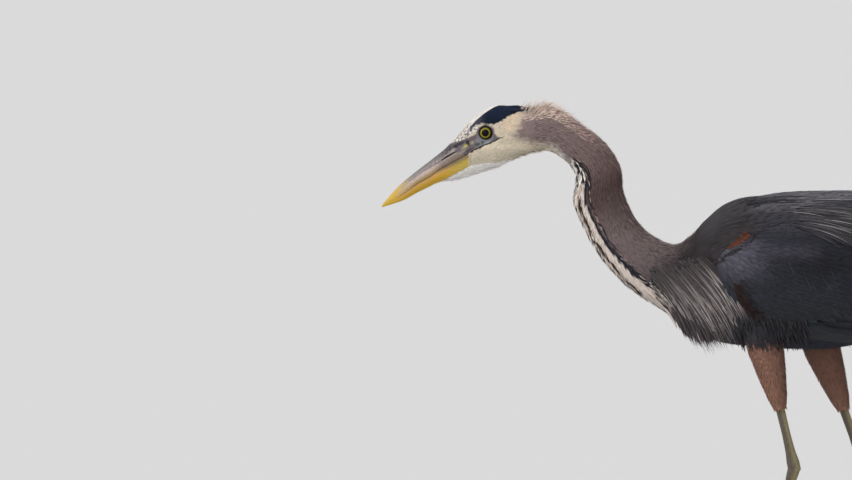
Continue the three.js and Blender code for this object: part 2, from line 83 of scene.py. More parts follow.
# Long back feathers over the wing: the same columns.
MANTLE = [
    [6, 455, 92, 82, 2, 540, 528], [30, 452, 101, 93, 5, 552, 519], [75, 450, 108, 101, 7, 558, 507],
    [140, 450, 109.5, 104, 7.5, 560, 497], [200, 452, 107, 101, 7.5, 560, 494],
    [250, 458, 97.5, 92, 7, 556, 498], [300, 466, 82, 80, 6, 548, 506], [345, 474, 65, 66, 4.5, 538, 510],
    [378, 480, 52, 55, 2.2, 530, 514], [405, 483, 38, 47, 2, 520, 494], [435, 483, 22, 38, 1.5, 504, 482],
    [458, 482, 10, 31, 1, 491, 478],
]
TARSUS_LENGTH, TIBIA_LENGTH, FOOT_SPREAD, PAD_HEIGHT = 176, 232, 43, 15
LEGS = {"left": (1, 38, 88, 34), "right": (-1, 128, 186, 108)}  # side, foot y, ankle y, knee y
# Radii along a bone: the share of the way up it, and the radius there.
TARSUS_RADII = [[-0.02, 7.4], [0.07, 5.6], [0.2, 4.7], [0.55, 4.5], [0.84, 5.4], [0.94, 7.7], [1.02, 8]]
TIBIA_RADII = [[-0.02, 8], [0.035, 8.6], [0.09, 6.7], [0.2, 5.6], [0.36, 6], [0.46, 8]]
THIGH_RADII = [[0.362, 9], [0.42, 13.5], [0.55, 19.5], [0.72, 25.5], [0.85, 26], [1, 20]]
# Toes: degrees turned toward the other foot, length with the claw, and the claw's length.
TOES = {"inner": (35, 84, 15), "middle": (1, 103, 16), "outer": (-33, 88, 14), "hind": (170, 58, 20)}
TOE_RADIUS, CLAW_RADIUS = 3.4, 2.4


# ---------------------------------------------------------------- numbers
def unit(vectors):
    """The same directions, one long."""
    return vectors / np.maximum(np.linalg.norm(vectors, axis=-1, keepdims=True), 1e-9)


def dot(a, b):
    return (a * b).sum(-1, keepdims=True)


def turns(count):
    """This many angles evenly round a circle."""
    return np.linspace(0, TURN, count, endpoint=False)


def rising(*spans):
    """Rising values in spans of even steps, each given by its ends and its count."""
    return np.unique(np.concatenate([np.linspace(*span) for span in spans]))


def ramp(x, low, high):
    """0 up to low, 1 from high, smooth between."""
    t = np.clip((np.asarray(x, float) - low) / (high - low), 0, 1)
    return t * t * (3 - 2 * t)


def bell(x, width):
    """1 where x is nothing, fading out on both sides."""
    return np.exp(-((x / width) ** 2))


def blend(a, b, share):
    """This share of the way from a to b."""
    return a + (b - a) * share


def mix(a, b, share):
    """From colour a to colour b, with a share for each place."""
    return blend(np.asarray(a), np.asarray(b), np.asarray(share)[..., None])


def painted(tone, *layers):
    """A colour with others laid over it in turn, each with its share."""
    for colour, share in layers:
        tone = mix(tone, colour, share)
    return tone


def table(rows):
    """Smooth values between the rows of a table, running straight on past its ends."""
    values = np.array(rows, float)
    last = len(values) - 1

    def at(u):
        within = np.clip(u, 0, last)
        i = np.minimum(np.floor(within).astype(int), last - 1)
        t = (within - i)[..., None]
        a, b, c, d = (values[np.clip(i + k, 0, last)] for k in (-1, 0, 1, 2))
        found = b + 0.5 * t * (c - a + t * (2 * a - 5 * b + 4 * c - d + t * (3 * (b - c) + d - a)))
        slope = np.where((u < 0)[..., None], values[1] - values[0], values[last] - values[last - 1])
        return found + (u - within)[..., None] * slope

    return at


def wobble(y, z, size, seed=0.0):
    """Smooth irregular values from about -1 to 1, in bumps of about this size."""
    k = TURN / size
    first = np.sin(k * (0.9 * y + 0.4 * z) + 5.1 * seed + 1.3 * np.sin(0.5 * k * (z - y) + seed))
    second = np.sin(k * (0.9 * z - 0.5 * y) + 2.7 * seed + 1.7 * np.sin(0.4 * k * (z + 1.3 * y)))
    return (first + second) / 2


def from_side(start, end, y, z):
    """Distance to a straight side, and how far along it the nearest point is, 0 to 1."""
    (ay, az), (by, bz) = start, end
    ey, ez = by - ay, bz - az
    t = np.clip(((y - ay) * ey + (z - az) * ez) / (ey * ey + ez * ez), 0, 1)
    return np.hypot(y - ay - t * ey, z - az - t * ez), t


def inside(corners, y, z):
    """How deep a place lies inside an outline of y, z corners, less than nothing outside it."""
    nearest, within = np.full(np.shape(y), np.inf), np.zeros(np.shape(y), bool)
    for start, end in zip(corners, corners[1:] + corners[:1]):
        nearest = np.minimum(nearest, from_side(start, end, y, z)[0])
        (ay, az), (by, bz) = start, end
        within ^= ((az > z) != (bz > z)) & (y < ay + (z - az) * (by - ay) / (bz - az or 1e-9))
    return np.where(within, nearest, -nearest)


def from_line(corners, y, z):
    """Distance to an open line of y, z corners, and how far along it the nearest point is, 0 to 1."""
    nearest, along = np.full(np.shape(y), np.inf), np.zeros(np.shape(y))
    for i, (start, end) in enumerate(zip(corners, corners[1:])):
        away, t = from_side(start, end, y, z)
        along = np.where(away < nearest, (i + t) / (len(corners) - 1), along)
        nearest = np.minimum(nearest, away)
    return nearest, along


# ---------------------------------------------------------------- surfaces, each a function of p and q
body_row = table(BILL_OVALS + OVALS)


def body(u, a):
    """Row u of the ovals at the angle a, from the top round by the left side."""
    top_y, top_z, low_y, low_z, half_width, egg = np.moveaxis(body_row(u + BILL_ROWS), -1, 0)
    x = half_width * np.sin(a) * (1 - egg * np.cos(a))
    y = (top_y + low_y) / 2 + (top_y - low_y) / 2 * np.cos(a)
    z = (top_z + low_z) / 2 + (top_z - low_z) / 2 * np.cos(a)
    return np.stack([x, y, z], -1)


def shell(rows):
    """The outer face of a wing's shell: row p at the angle q, down from the top of its oval."""
    row = table(rows)

    def at(p, q):
        y, middle, half_height, half_width = np.moveaxis(row(p), -1, 0)[:4]
        return np.stack([half_width * np.sin(q), y, middle + half_height * np.cos(q)], -1)

    def angle(p, z):
        """The angle at which row p passes the height z."""
        middle, half_height = np.moveaxis(row(p), -1, 0)[1:3]
        return np.arccos(np.clip((z - middle) / half_height, -1, 1))

    def row_at(y):
        """p of the row at this y."""
        fine_p = np.linspace(-1, len(rows), 600)
        return np.interp(y, row(fine_p)[:, 0], fine_p)

    at.row, at.angle, at.row_at = row, angle, row_at
    at.find = lambda y, z: (row_at(y), angle(row_at(y), z))
    at.edges = lambda p: np.moveaxis(row(p), -1, 0)[5:7]
    return at


wing = shell(WING)
mantle = shell(MANTLE)


def joint_above(low, toward_y, length):
    """The upper end of a bone this long from its lower end, at this y and no further to the side."""
    return np.array([low[0], toward_y, low[2] + math.sqrt(length**2 - (toward_y - low[1]) ** 2)])


def leg_joints(name):
    """The middles of the foot's pad, the ankle and the knee."""
    side, foot_y, ankle_y, knee_y = LEGS[name]
    pad_top = np.array([side * FOOT_SPREAD, foot_y, PAD_HEIGHT])
    ankle = joint_above(pad_top, ankle_y, TARSUS_LENGTH)
    return pad_top, ankle, joint_above(ankle, knee_y, TIBIA_LENGTH)


def bone_axes(low, high):
    """Directions up a bone, across it to +X, and square to both."""
    up = unit(high - low)
    across = unit(np.array([1.0, 0, 0]) - up * up[0])
    return up, across, np.cross(up, across)


def thigh(name):
    """The feathered cone of a leg: the share p of the way up from the ankle, at the angle q."""
    _, ankle, knee = leg_joints(name)
    _, across, back = bone_axes(ankle, knee)
    shares, radii = np.array(THIGH_RADII).T

    def at(p, q):
        out = across * np.cos(q)[..., None] + back * np.sin(q)[..., None]
        return ankle + (knee - ankle) * p[..., None] + np.interp(p, shares, radii)[..., None] * out

    return at


def place_on(surface, p, q):
    """Point, change along p, change along q and outward normal."""
    e = 0.002
    along = (surface(p + e, q) - surface(p - e, q)) / (2 * e)
    around = (surface(p, q + e) - surface(p, q - e)) / (2 * e)
    return surface(p, q), along, around, unit(np.cross(around, along))


def scatter(surface, p_range, q_range, along, across):
    """Staggered roots on a surface, this many millimetres apart."""
    found_p, found_q = [], []
    p = p_range[0]
    while p < p_range[1]:
        q = np.linspace(*q_range, 160)
        _, dp, dq, _ = place_on(surface, np.full_like(q, p), q)
        speed = np.linalg.norm(dp, axis=1)
        step = along / speed.max()
        length = np.concatenate([[0], np.cumsum(np.linalg.norm((dq[1:] + dq[:-1]) / 2, axis=1) * np.diff(q))])
        at = np.arange(rng.uniform(0, across), length[-1], across)
        keep = rng.random(len(at)) < np.interp(at, length, speed) * step / along
        row_q = np.interp(at + rng.uniform(-0.4, 0.4, len(at)) * across, length, q)
        found_q.append(row_q[keep])
        found_p.append((p + step * rng.uniform(-0.45, 0.45, len(at)))[keep])
        p += step
    return np.concatenate(found_p), np.concatenate(found_q)


def march(surface, p, q, heading, length, rings, bend):
    """Walks over the surface from each root. Returns points, normals, and the point, p and q half way."""
    points, normals = [], []
    middle = None
    for k in range(rings + 1):
        point, along, around, normal = place_on(surface, p, q)
        heading = unit(heading - normal * dot(heading, normal))
        points.append(point)
        normals.append(normal)
        if k == (rings + 1) // 2:
            middle = (point, p, q)
        step = heading * (length / rings)[:, None]
        a, b, c = dot(along, along)[:, 0], dot(along, around)[:, 0], dot(around, around)[:, 0]
        s, t = dot(along, step)[:, 0], dot(around, step)[:, 0]
        det = np.maximum(a * c - b * b, 1e-6)
        p = p + (s * c - t * b) / det
        q = q + (t * a - s * b) / det
        heading = heading + np.asarray(bend) / rings
    return np.stack(points, 1), np.stack(normals, 1), middle


# ---------------------------------------------------------------- meshes
def new_mesh(name, points, triangles, material, replaces, tint, maps=None, normals=None):
    """An object from arrays in millimetres, which rides on the bird."""
    mesh = bpy.data.meshes.new(name)
    mesh.vertices.add(len(points))
    mesh.vertices.foreach_set("co", (points * MM).astype(np.float32).ravel())
    mesh.loops.add(triangles.size)
    mesh.loops.foreach_set("vertex_index", triangles.astype(np.int32).ravel())
    mesh.polygons.add(len(triangles))
    mesh.polygons.foreach_set("loop_start", np.arange(0, triangles.size, 3, dtype=np.int32))
    mesh.polygons.foreach_set("use_smooth", np.ones(len(triangles), bool))
    mesh.update(calc_edges=True)
    if tint.shape[1] == 3:
        tint = np.concatenate([tint, np.ones((len(tint), 1))], 1)
    attribute = mesh.color_attributes.new("tint", "FLOAT_COLOR", "POINT")
    attribute.data.foreach_set("color", tint.astype(np.float32).ravel())
    for map_name, values in (maps or {}).items():
        layer = mesh.uv_layers.new(name=map_name)
        layer.data.foreach_set("uv", values.astype(np.float32).ravel())
    if normals is not None:
        mesh.normals_split_custom_set(normals.astype(np.float32))
    mesh.materials.append(MATERIALS[material])
    piece = bpy.data.objects.new(name, mesh)
    bpy.context.scene.collection.objects.link(piece)
    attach(piece, "root")
    if replaces:
        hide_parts(*replaces)


def pairs(a, b):
    """Columns a and b beside each other."""
    return np.stack([a, b], -1)


def loft(rings):
    """Points and triangles through rings of equal count, capped at both ends by fans round a middle point."""
    count, around = rings.shape[:2]
    r, i = np.meshgrid(np.arange(count - 1), np.arange(around), indexing="ij")
    a, b = r * around + i, r * around + (i + 1) % around
    first, last = count * around, count * around + 1
    i = np.arange(around)
    ahead, end = (i + 1) % around, (count - 1) * around
    faces = [
        np.stack([a, b, a + around], -1), np.stack([b, b + around, a + around], -1),
        np.stack([ahead, i, np.full(around, first)], -1),
        np.stack([i + end, ahead + end, np.full(around, last)], -1),
    ]
    points = [rings.reshape(-1, 3), rings[:1].mean(1), rings[-1:].mean(1)]
    return np.concatenate(points), np.concatenate([f.reshape(-1, 3) for f in faces])


def turned_out(points, triangles):
    """A closed shape's triangles, turned so that they all face outward."""
    a, b, c = (points[triangles[:, k]] for k in range(3))
    return triangles if dot(a, np.cross(b, c)).sum() > 0 else triangles[:, ::-1]


def joined(shapes):
    """Closed shapes, each of points and triangles, as one."""
    starts = np.cumsum([0] + [len(points) for points, _ in shapes])
    faces = [turned_out(*shape) + start for shape, start in zip(shapes, starts)]
    return np.concatenate([points for points, _ in shapes]), np.concatenate(faces)


# Cross-sections: corners across and up, and how many of their sides, counted from the last, face down.
SECTIONS = {
    "lock": (np.array([[-1, 0], [0, 1], [1, 0]], float), 1),
    "vane": (np.array([[-1, -0.5], [-0.5, 0.35], [0, 1], [0.5, 0.35], [1, -0.5], [0, 0.15]], float), 2),
}
# Outlines: half width at the share t of the length.
SHAPES = {
    "hair": lambda t: 0.75 + 0.25 * np.sin(math.pi * t) - 0.45 * t**2,
    "soft": lambda t: np.minimum(1, 0.5 + 2 * t) * np.sqrt(np.maximum(1 - t**2.2, 0.02)),
    "round": lambda t: np.minimum(1, 0.45 + 2.2 * t) * np.sqrt(np.maximum(1 - t**8, 0.02)),
}
BAKE_PATCH = 0.003  # each small feather's share of its piece's bake map
# How far feathers of a kind differ, as shares: lengths, lengths of flight feathers, widths and brightness.
UNEVEN_LENGTH, UNEVEN_VANE, UNEVEN_WIDTH, UNEVEN_TONE = 0.14, 0.03, 0.15, 0.07


class Coat:
    """One piece of many joined feathers."""

    def __init__(self, name, slot, replaces=(), look="plumage", ruffle=0.10, arch=0.35, side=1):
        self.name, self.slot, self.replaces, self.look = name, slot, replaces, look
        self.ruffle, self.arch = ruffle, arch  # how unevenly feathers lie, and how arched their shading is
        self.side = side  # surfaces are of the left side, and -1 lays feathers on the right
        self.points, self.faces, self.normals, self.tints = [], [], [], []
        self.vanes, self.places, self.cells = [], [], []
        self.count = 0

    def lay(self, surface, p, q, heading, length, width, colour, rings=3, section="lock", shape="hair",
            root=-4.0, tip=0.2, thick=0.4, bend=(0, 0, 0), shelf=0.0, cells=False, curl=0.8, dark_root=0.6,
            from_tip=False):
        """Feathers over a surface from the roots (or tips) at p, q. root and tip are their heights there;
        roots are painted in shade.
        """
        uneven = UNEVEN_VANE if from_tip else UNEVEN_LENGTH
        length = np.broadcast_to(length, p.shape) * rng.uniform(1 - uneven, 1 + uneven, len(p))
        points, normals, (middle, mid_p, mid_q) = march(surface, p, q, heading, length, rings, bend)
        if from_tip:
            points, normals = points[:, ::-1], normals[:, ::-1]
        t = np.linspace(0, 1, rings + 1)
        root, tip = (np.broadcast_to(np.asarray(v, float), p.shape)[:, None] for v in (root, tip))
        lift = root + (tip + rng.uniform(-0.15, 0.15, p.shape)[:, None] * np.abs(root) * 0.3 - root) * t**curl
        points = points + normals * lift[..., None]
        self.add(points, normals, width, colour(middle, mid_p, mid_q), section, shape, thick, dark_root)
        self.keep_place((q + shelf) * self.side, p, cells)

    def lay_back(self, p, q, *looks, **more):
        """Feathers over the body that point toward the tail."""
        self.lay(body, p, q, unit(place_on(body, p, q)[1]), *looks, **more)

    def keep_place(self, across, along, cells=False):
        """Where the newest feathers lie in the bake map, before it is scaled to fit."""
        self.places.append(pairs(across, along))
        self.cells.append(np.full(len(along), cells))

    def add(self, points, normals, width, colours, section, shape, thick, dark_root):
        """Feathers along lines of points, with a colour for their centres and one for their edges."""
        count, rings = points.shape[0], points.shape[1] - 1
        profile, sides_down = SECTIONS[section]
        t = np.linspace(0, 1, rings + 1)[:-1]
        heading = unit(np.gradient(points, axis=1))
        across = unit(np.cross(heading, normals))
        normals = np.cross(across, heading)
        tilt = rng.normal(0, self.ruffle, (count, 1, 1))
        across, normals = across + normals * tilt, normals - across * tilt
        width = width * rng.uniform(1 - UNEVEN_WIDTH, 1 + UNEVEN_WIDTH, count)
        half = (width[:, None] / 2 * SHAPES[shape](t))[..., None, None]
        rise = (thick * (1 - 0.5 * t))[:, None, None]
        across, up = across[:, :-1, None], normals[:, :-1, None]
        ring = points[:, :-1, None] + across * half * profile[:, :1] + up * rise * profile[:, 1:]
        solid = np.concatenate([ring.reshape(count, -1, 3), points[:, -1:]], 1)
        facing = up + across * (self.arch * profile[:, :1])
        facing = np.concatenate([facing.reshape(count, -1, 3), normals[:, -1:]], 1)
        solid[..., 0] *= self.side
        facing[..., 0] *= self.side

        faces, turn = self.feather_faces(rings, len(profile), sides_down)
        faces = faces[:, ::self.side]
        # a feather's back is shaded as facing the other way
        self.normals.append((unit(facing)[:, faces] * turn[:, None, None]).reshape(-1, 3))
        starts = self.count + np.arange(count)[:, None, None] * solid.shape[1]
        self.faces.append((faces + starts).reshape(-1, 3))
        self.count += count * solid.shape[1]
        self.points.append(solid.reshape(-1, 3))
        self.tints.append(self.feather_tints(count, colours, profile, t, dark_root))
        vane = np.stack(np.broadcast_arrays((profile[:, 0] + 1) / 2, t[:, None]), -1).reshape(-1, 2)
        vane = np.concatenate([vane, [[0.5, 1.0]]])
        self.vanes.append(np.broadcast_to(vane, (count, *vane.shape)))

    @staticmethod
    def feather_tints(count, colours, profile, t, dark_root):
        """Colours of the feathers' corners, from centre to edge, and from a root darkened as painted shade to
        the point.
        """
        centre, edge = colours
        toward_edge = np.abs(profile[:, 0]) ** 1.5
        bright = rng.normal(1, UNEVEN_TONE, (count, 1))
        tint = mix((centre * bright)[:, None], (edge * bright)[:, None], toward_edge[None])
        # painted shade: each feather darker toward its root, where the feathers over it shade it
        tint = tint[:, None] * blend(dark_root, 1, ramp(t, 0.0, 0.5))[None, :, None, None]
        point = (blend(centre, edge, 0.3) * bright)[:, None]
        return np.concatenate([tint.reshape(count, -1, 3), point], 1).reshape(-1, 3)

    @staticmethod
    def feather_faces(rings, corners, sides_down):
        """Triangles of one feather from its root to its point, and 1 or -1 where each faces up or down."""
        i = np.arange(corners)
        faces = []
        for r in range(rings - 1):
            a, b = r * corners + i, r * corners + (i + 1) % corners
            faces += [np.stack([a, b, b + corners], -1), np.stack([a, b + corners, a + corners], -1)]
        last = (rings - 1) * corners
        faces.append(np.stack([last + i, last + (i + 1) % corners, np.full(corners, last + corners)], -1))
        k = np.arange(1, corners - 1)
        faces.append(np.stack([0 * k, k + 1, k], -1))
        up = np.tile(np.where(i < corners - sides_down, 1, -1), 2 * rings - 1)
        return np.concatenate(faces), np.concatenate([up, np.ones(len(k), int)])

    def bake_map(self):
        """Where each corner lies in the bake map, which every feather has a patch of."""
        places, cells = np.concatenate(self.places), np.concatenate(self.cells)
        low, high = places.min(0), places.max(0)
        places = 0.01 + 0.98 * (places - low) / np.maximum(high - low, 1e-9)
        # long flight feathers have a cell of the map each, in a grid
        grid = math.ceil(math.sqrt(max(1, cells.sum())))
        number = np.cumsum(cells) - 1
        places[cells] = ((pairs(number % grid, number // grid) + 0.5) / grid)[cells]
        patch = np.where(cells, 0.9 / grid, BAKE_PATCH)
        first = 0
        bake = []
        for vane in self.vanes:
            here = slice(first, first + len(vane))
            bake.append((places[here, None] + patch[here, None, None] * (vane - 0.5)).reshape(-1, 2))
            first += len(vane)
        return np.concatenate(bake)

    def finish(self):
        """Makes the mesh."""
        faces, points, tints, normals = (
            np.concatenate(found) for found in (self.faces, self.points, self.tints, self.normals)
        )
        vanes = np.concatenate([vane.reshape(-1, 2) for vane in self.vanes])
        corners = faces.ravel()
        maps = {"OFBake": self.bake_map()[corners], "vane": vanes[corners]}
        print(f"{self.name}: {len(faces)} triangles, {sum(map(len, self.vanes))} feathers")
        new_mesh(self.name, points, faces, self.look, self.replaces, tints, maps, normals)


# ---------------------------------------------------------------- materials
class Nodes:
    """A new material's nodes, with short ways to add and join them."""

    def __init__(self, name, **sockets):
        self.material = bpy.data.materials.new(name)
        self.material.use_nodes = True
        self.tree = self.material.node_tree
        self.shader = self.tree.nodes["Principled BSDF"]
        for socket, value in sockets.items():
            self.shader.inputs[socket.replace("_", " ")].default_value = value

    def add(self, kind, inputs=None, **settings):
        node = self.tree.nodes.new("ShaderNode" + kind)
        for key, value in settings.items():
            setattr(node, key, value)
        for socket, value in (inputs or {}).items():
            if isinstance(value, bpy.types.NodeSocket):
                self.tree.links.new(value, node.inputs[socket])
            else:
                node.inputs[socket].default_value = value
        return node.outputs[0]

    def math(self, operation, a, b=0.0, c=0.0):
        return self.add("Math", {0: a, 1: b, 2: c}, operation=operation)

    def tint(self):
        return self.add("VertexColor", layer_name="tint")

    def shaded(self, colour, factor):
        """The surface's colour: this one times a grey factor."""
        scaled = self.add("VectorMath", {0: colour, "Scale": factor}, operation="SCALE")
        self.tree.links.new(scaled, self.shader.inputs["Base Color"])

    def bump(self, height, strength, distance):
        bump = self.add("Bump", {"Height": height, "Strength": strength, "Distance": distance})
        self.tree.links.new(bump, self.shader.inputs["Normal"])

    def noise(self, scale, detail=3.0, stretch=None, turn=0.0):
        place = self.add("TexCoord").node.outputs["Object"]
        if stretch:
            place = self.add("Mapping", {"Vector": place, "Rotation": (turn, 0, 0), "Scale": stretch})
        return self.add("TexNoise", {"Vector": place, "Scale": scale, "Detail": detail})

    def centred(self, value, reach):
        """1 plus or minus reach, as value runs from 0 to 1."""
        return self.math("MULTIPLY_ADD", value, 2 * reach, 1 - reach)


def plumage(name, barbs, contrast, roughness, shaft=0.0):
    """Feathers: slanted, uneven barbs from the shaft out, soft mottling, and a shaft line where it shows."""
    n = Nodes(name, Roughness=roughness, Sheen_Weight=0.03, Sheen_Roughness=0.5, Specular_IOR_Level=0.15)
    split = n.add("SeparateXYZ", {0: n.add("UVMap", uv_map="vane")}).node
    off = n.math("ABSOLUTE", n.math("SUBTRACT", split.outputs[0], 0.5))
    phase = n.math("MULTIPLY_ADD", split.outputs[1], barbs, n.math("MULTIPLY", off, -0.35 * barbs))
    barb = n.math("SINE", n.math("MULTIPLY", phase, TURN))
    uneven = n.add("TexNoise", {"W": phase, "Scale": 1.3, "Detail": 2.0}, noise_dimensions="1D")
    mottle = n.math("MULTIPLY", n.centred(n.noise(140.0), 0.16), n.centred(uneven, 3 * contrast))
    factor = n.math("MULTIPLY", mottle, n.math("MULTIPLY_ADD", barb, contrast, 1.0))
    if shaft:
        line = n.add("MapRange", {0: off, 1: 0.010, 2: 0.035, 3: 1 + shaft, 4: 1.0})
        factor = n.math("MULTIPLY", factor, line)
    n.shaded(n.tint(), factor)
    n.bump(n.math("ADD", barb, uneven), 0.35, 0.0002)
    return n.material


def skin_material():
    """Bare face and scaly legs: fine wrinkles, and small scales where the tint's alpha is full."""
    n = Nodes("skin", Roughness=0.5, Specular_IOR_Level=0.2)
    tint = n.tint().node
    place = n.add("TexCoord").node.outputs["Object"]
    edges = n.add("TexVoronoi", {"Vector": place, "Scale": 520.0}, feature="DISTANCE_TO_EDGE")
    scaly = n.math("MULTIPLY", n.math("MINIMUM", edges, 0.12), n.math("MULTIPLY", tint.outputs["Alpha"], 6.0))
    wrinkle = n.noise(900.0, 4.0)
    n.shaded(tint.outputs["Color"], n.centred(n.noise(300.0, 6.0), 0.42))
    n.bump(n.math("ADD", scaly, n.math("MULTIPLY", wrinkle, 0.6)), 0.8, 0.0005)
    return n.material


def horn_material(name, roughness, coat):
    """Bill and claws: faint streaks along the length."""
    n = Nodes(name, Roughness=roughness, Coat_Weight=coat, Coat_Roughness=0.25, Specular_IOR_Level=0.3)
    streak = n.noise(420.0, 4.0, (1.0, 0.12, 1.0), math.radians(-40))
    n.shaded(n.tint(), n.math("MULTIPLY", n.centred(streak, 0.16), n.centred(n.noise(90.0), 0.1)))
    n.bump(streak, 0.12, 0.0003)
    return n.material


def eye_material():
    """Smooth, with a thin clear coat."""
    n = Nodes("eye", Roughness=0.4, Coat_Weight=0.06, Coat_Roughness=0.03, Specular_IOR_Level=0.05)
    n.shaded(n.tint(), n.centred(n.noise(1500.0), 0.12))
    return n.material


MATERIALS = {
    "plumage": plumage("plumage", 10, 0.07, 0.75),
    "vanes": plumage("vanes", 46, 0.09, 0.6, shaft=0.7),
    "skin": skin_material(),
    "bill": horn_material("bill", 0.45, 0.1),
    "claw": horn_material("claw", 0.35, 0.2),
    "eye": eye_material(),
}


# ---------------------------------------------------------------- markings
WHITE = np.array([0.88, 0.83, 0.76])
CREAM = np.array([0.68, 0.60, 0.54])
CHEEK = np.array([0.63, 0.555, 0.43])
BLACK = np.array([0.014, 0.016, 0.024])
INK = np.array([0.007, 0.016, 0.040])
# The chin's own white, made brighter than the other whites as painted light from below.
CHIN_LIT_WHITE = (0.92, 0.89, 0.85)
PEACH = (0.70, 0.565, 0.42)
RUFOUS = (0.098, 0.028, 0.012)
CHESTNUT = (0.019, 0.0075, 0.0065)
# Row u, then the colour there: along the sides and along the top.
SIDE_TONES = [
    [4.5, 0.255, 0.192, 0.185], [7, 0.195, 0.144, 0.138], [9, 0.172, 0.124, 0.116],
    [10.2, 0.130, 0.090, 0.084], [11.5, 0.085, 0.054, 0.050], [12.5, 0.092, 0.063, 0.060],
    [14, 0.162, 0.122, 0.122], [15.5, 0.126, 0.096, 0.100], [17, 0.022, 0.018, 0.021],
    [19, 0.022, 0.019, 0.022], [21, 0.032, 0.030, 0.035], [24, 0.045, 0.043, 0.05], [26, 0.06, 0.057, 0.067],
]
TOP_TONES = [
    [4.5, 0.58, 0.43, 0.355], [8, 0.24, 0.170, 0.153], [11.5, 0.115, 0.073, 0.066],
    [15, 0.15, 0.112, 0.107], [18, 0.033, 0.029, 0.032], [19.5, 0.045, 0.041, 0.047],
    [21, 0.055, 0.051, 0.059], [26, 0.07, 0.067, 0.08],
]
# Outlines in the side view.
BARE_FACE = [
    [-383, 620.5], [-378, 623.6], [-366, 627], [-358, 630.4], [-345, 635.8], [-341, 644.5], [-331, 650.2],
    [-320.5, 644], [-319, 637], [-314.5, 631.5], [-307, 633], [-321.5, 624.8], [-339.4, 616.6],
    [-358.2, 606.8], [-389.4, 590.5],
]
BLACK_CROWN = [
    [-353, 641], [-347, 646.5], [-338.6, 650.6], [-329.7, 650.4], [-319.4, 650.2], [-310.5, 654.4],
    [-299.2, 662.1], [-287.9, 667.2], [-276, 669.2], [-272, 673], [-276, 690], [-345, 690], [-352, 652],
]
MAUVE_NECK = [
    [-274.4, 673], [-284.5, 661], [-289.5, 644], [-296, 633], [-289, 628.5], [-274.4, 624.5],
    [-257.4, 624], [-240.4, 621], [-226, 607], [-215, 590], [-100, 560], [-100, 700], [-276, 700],
]
CHIN = [[-398, 569], [-352, 593.5], [-335, 596.5], [-314, 597.7], [-296, 603], [-285, 560], [-400, 540]]
# The horn of each jaw, and where the coat begins behind it.
UPPER_REAR = [[-379.5, 640], [-379.5, 625], [-373, 620], [-366, 613], [-361, 609.5], [-356, 606.2]]
LOWER_REAR = [[-350.6, 640], [-350.6, 612.4], [-352.2, 593.5], [-394.9, 569.8], [-400, 540]]
COAT_REAR = [[-351, 611], [-351, 600], [-353.5, 593], [-395.5, 569.5], [-400, 540]]
HORN = {
    "bill_upper": [[-500, 660], *UPPER_REAR, [-356, 590], [-500, 500]],
    "bill_lower": [[-500, 640], *LOWER_REAR, [-500, 500]],
}
COAT_EDGE = [[-500, 660], *UPPER_REAR, *COAT_REAR, [-500, 500]]
NOSTRIL = [[-391, 600.5], [-384, 605.5], [-376, 610.2], [-369.5, 613.2]]
# The groove and the dark streak that run on from it.
NOSTRIL_GROOVE = [NOSTRIL[0], [-404, 594], [-420, 583.5]]
NOSTRIL_STREAK = [NOSTRIL[0], [-412, 588], [-436, 571]]


def tones(rows, u):
    """Colours between the rows of a table of u and colour."""
    places, *channels = np.array(rows).T
    return np.stack([np.interp(u, places, channel) for channel in channels], -1)


def top_angle(a):
    """Angle from the middle of the top, on either side."""
    return np.abs((a + math.pi) % TURN - math.pi)


def under_angle(a):
    """Angle from the middle of the front or underside."""
    return math.pi - top_angle(a)


def picked(chosen, first, second):
    """The first colour where chosen, and the second elsewhere."""
    return np.where(chosen[:, None], first, second)


def head_tone(points):
    """Cheek with a painted highlight, chin with painted light from below, forehead, white crown and its black
    sides.
    """
    x, y, z = points.T
    off = np.abs(x)
    speck = wobble(0.6 * y + 0.8 * z, 2.2 * (0.8 * y - 0.6 * z), 6.0, 3)
    forehead = mix(WHITE, (0.16, 0.145, 0.15), ramp(speck, -0.1, 0.4) * ramp(off, 3, 6))
    tone = painted(
        # the cheek is lighter in a band along the jaw: a painted highlight
        CHEEK * (1 + 0.22 * bell(z - 619, 5))[:, None],
        (PEACH, ramp(y, -318, -300) * ramp(z, 636, 646)),
        (CHIN_LIT_WHITE, ramp(inside(CHIN, y, z), -1.5, 1.5)),
        (forehead, ramp(z - 0.75 * y, 898, 902) * ramp(y, -338, -346)),
    )
    # black sides of the crown, round a white middle
    black = ramp(inside(BLACK_CROWN, y + 1.2 * wobble(y, z, 5.0), z + 1.2 * wobble(y, z, 4.0, 2)), -0.4, 0.4)
    white_half = np.interp(y, [-356, -340, -326, -308], [10.5, 9.5, 7.5, 0])
    # a painted blue-grey sheen in front, ink in the middle, dull black at the back, darker toward the lower
    # edge
    crown = painted(
        INK * (1 - 0.4 * ramp(z, 664, 654))[:, None],
        ((0.075, 0.076, 0.11), ramp(y + 1.5 * wobble(y, z, 4.0, 5), -329, -348)),
        ((0.010, 0.010, 0.012), ramp(y, -308, -288)),
    )
    tone = mix(tone, crown, black * ramp(off, white_half - 0.7, white_half + 0.7))
    # two grey spots at the crown's front
    for at_y, at_z, size in ((-351.8, 641.4, 3.6), (-356.0, 636.2, 3.0)):
        away = np.hypot(y - at_y, z - at_z) + 0.5 * wobble(y, z, 3.0)
        tone = mix(tone, (0.10, 0.095, 0.12), 0.8 * ramp(away, size, 0.4 * size))
    return mix(tone, WHITE, black * ramp(off, white_half + 0.5, white_half - 0.5))


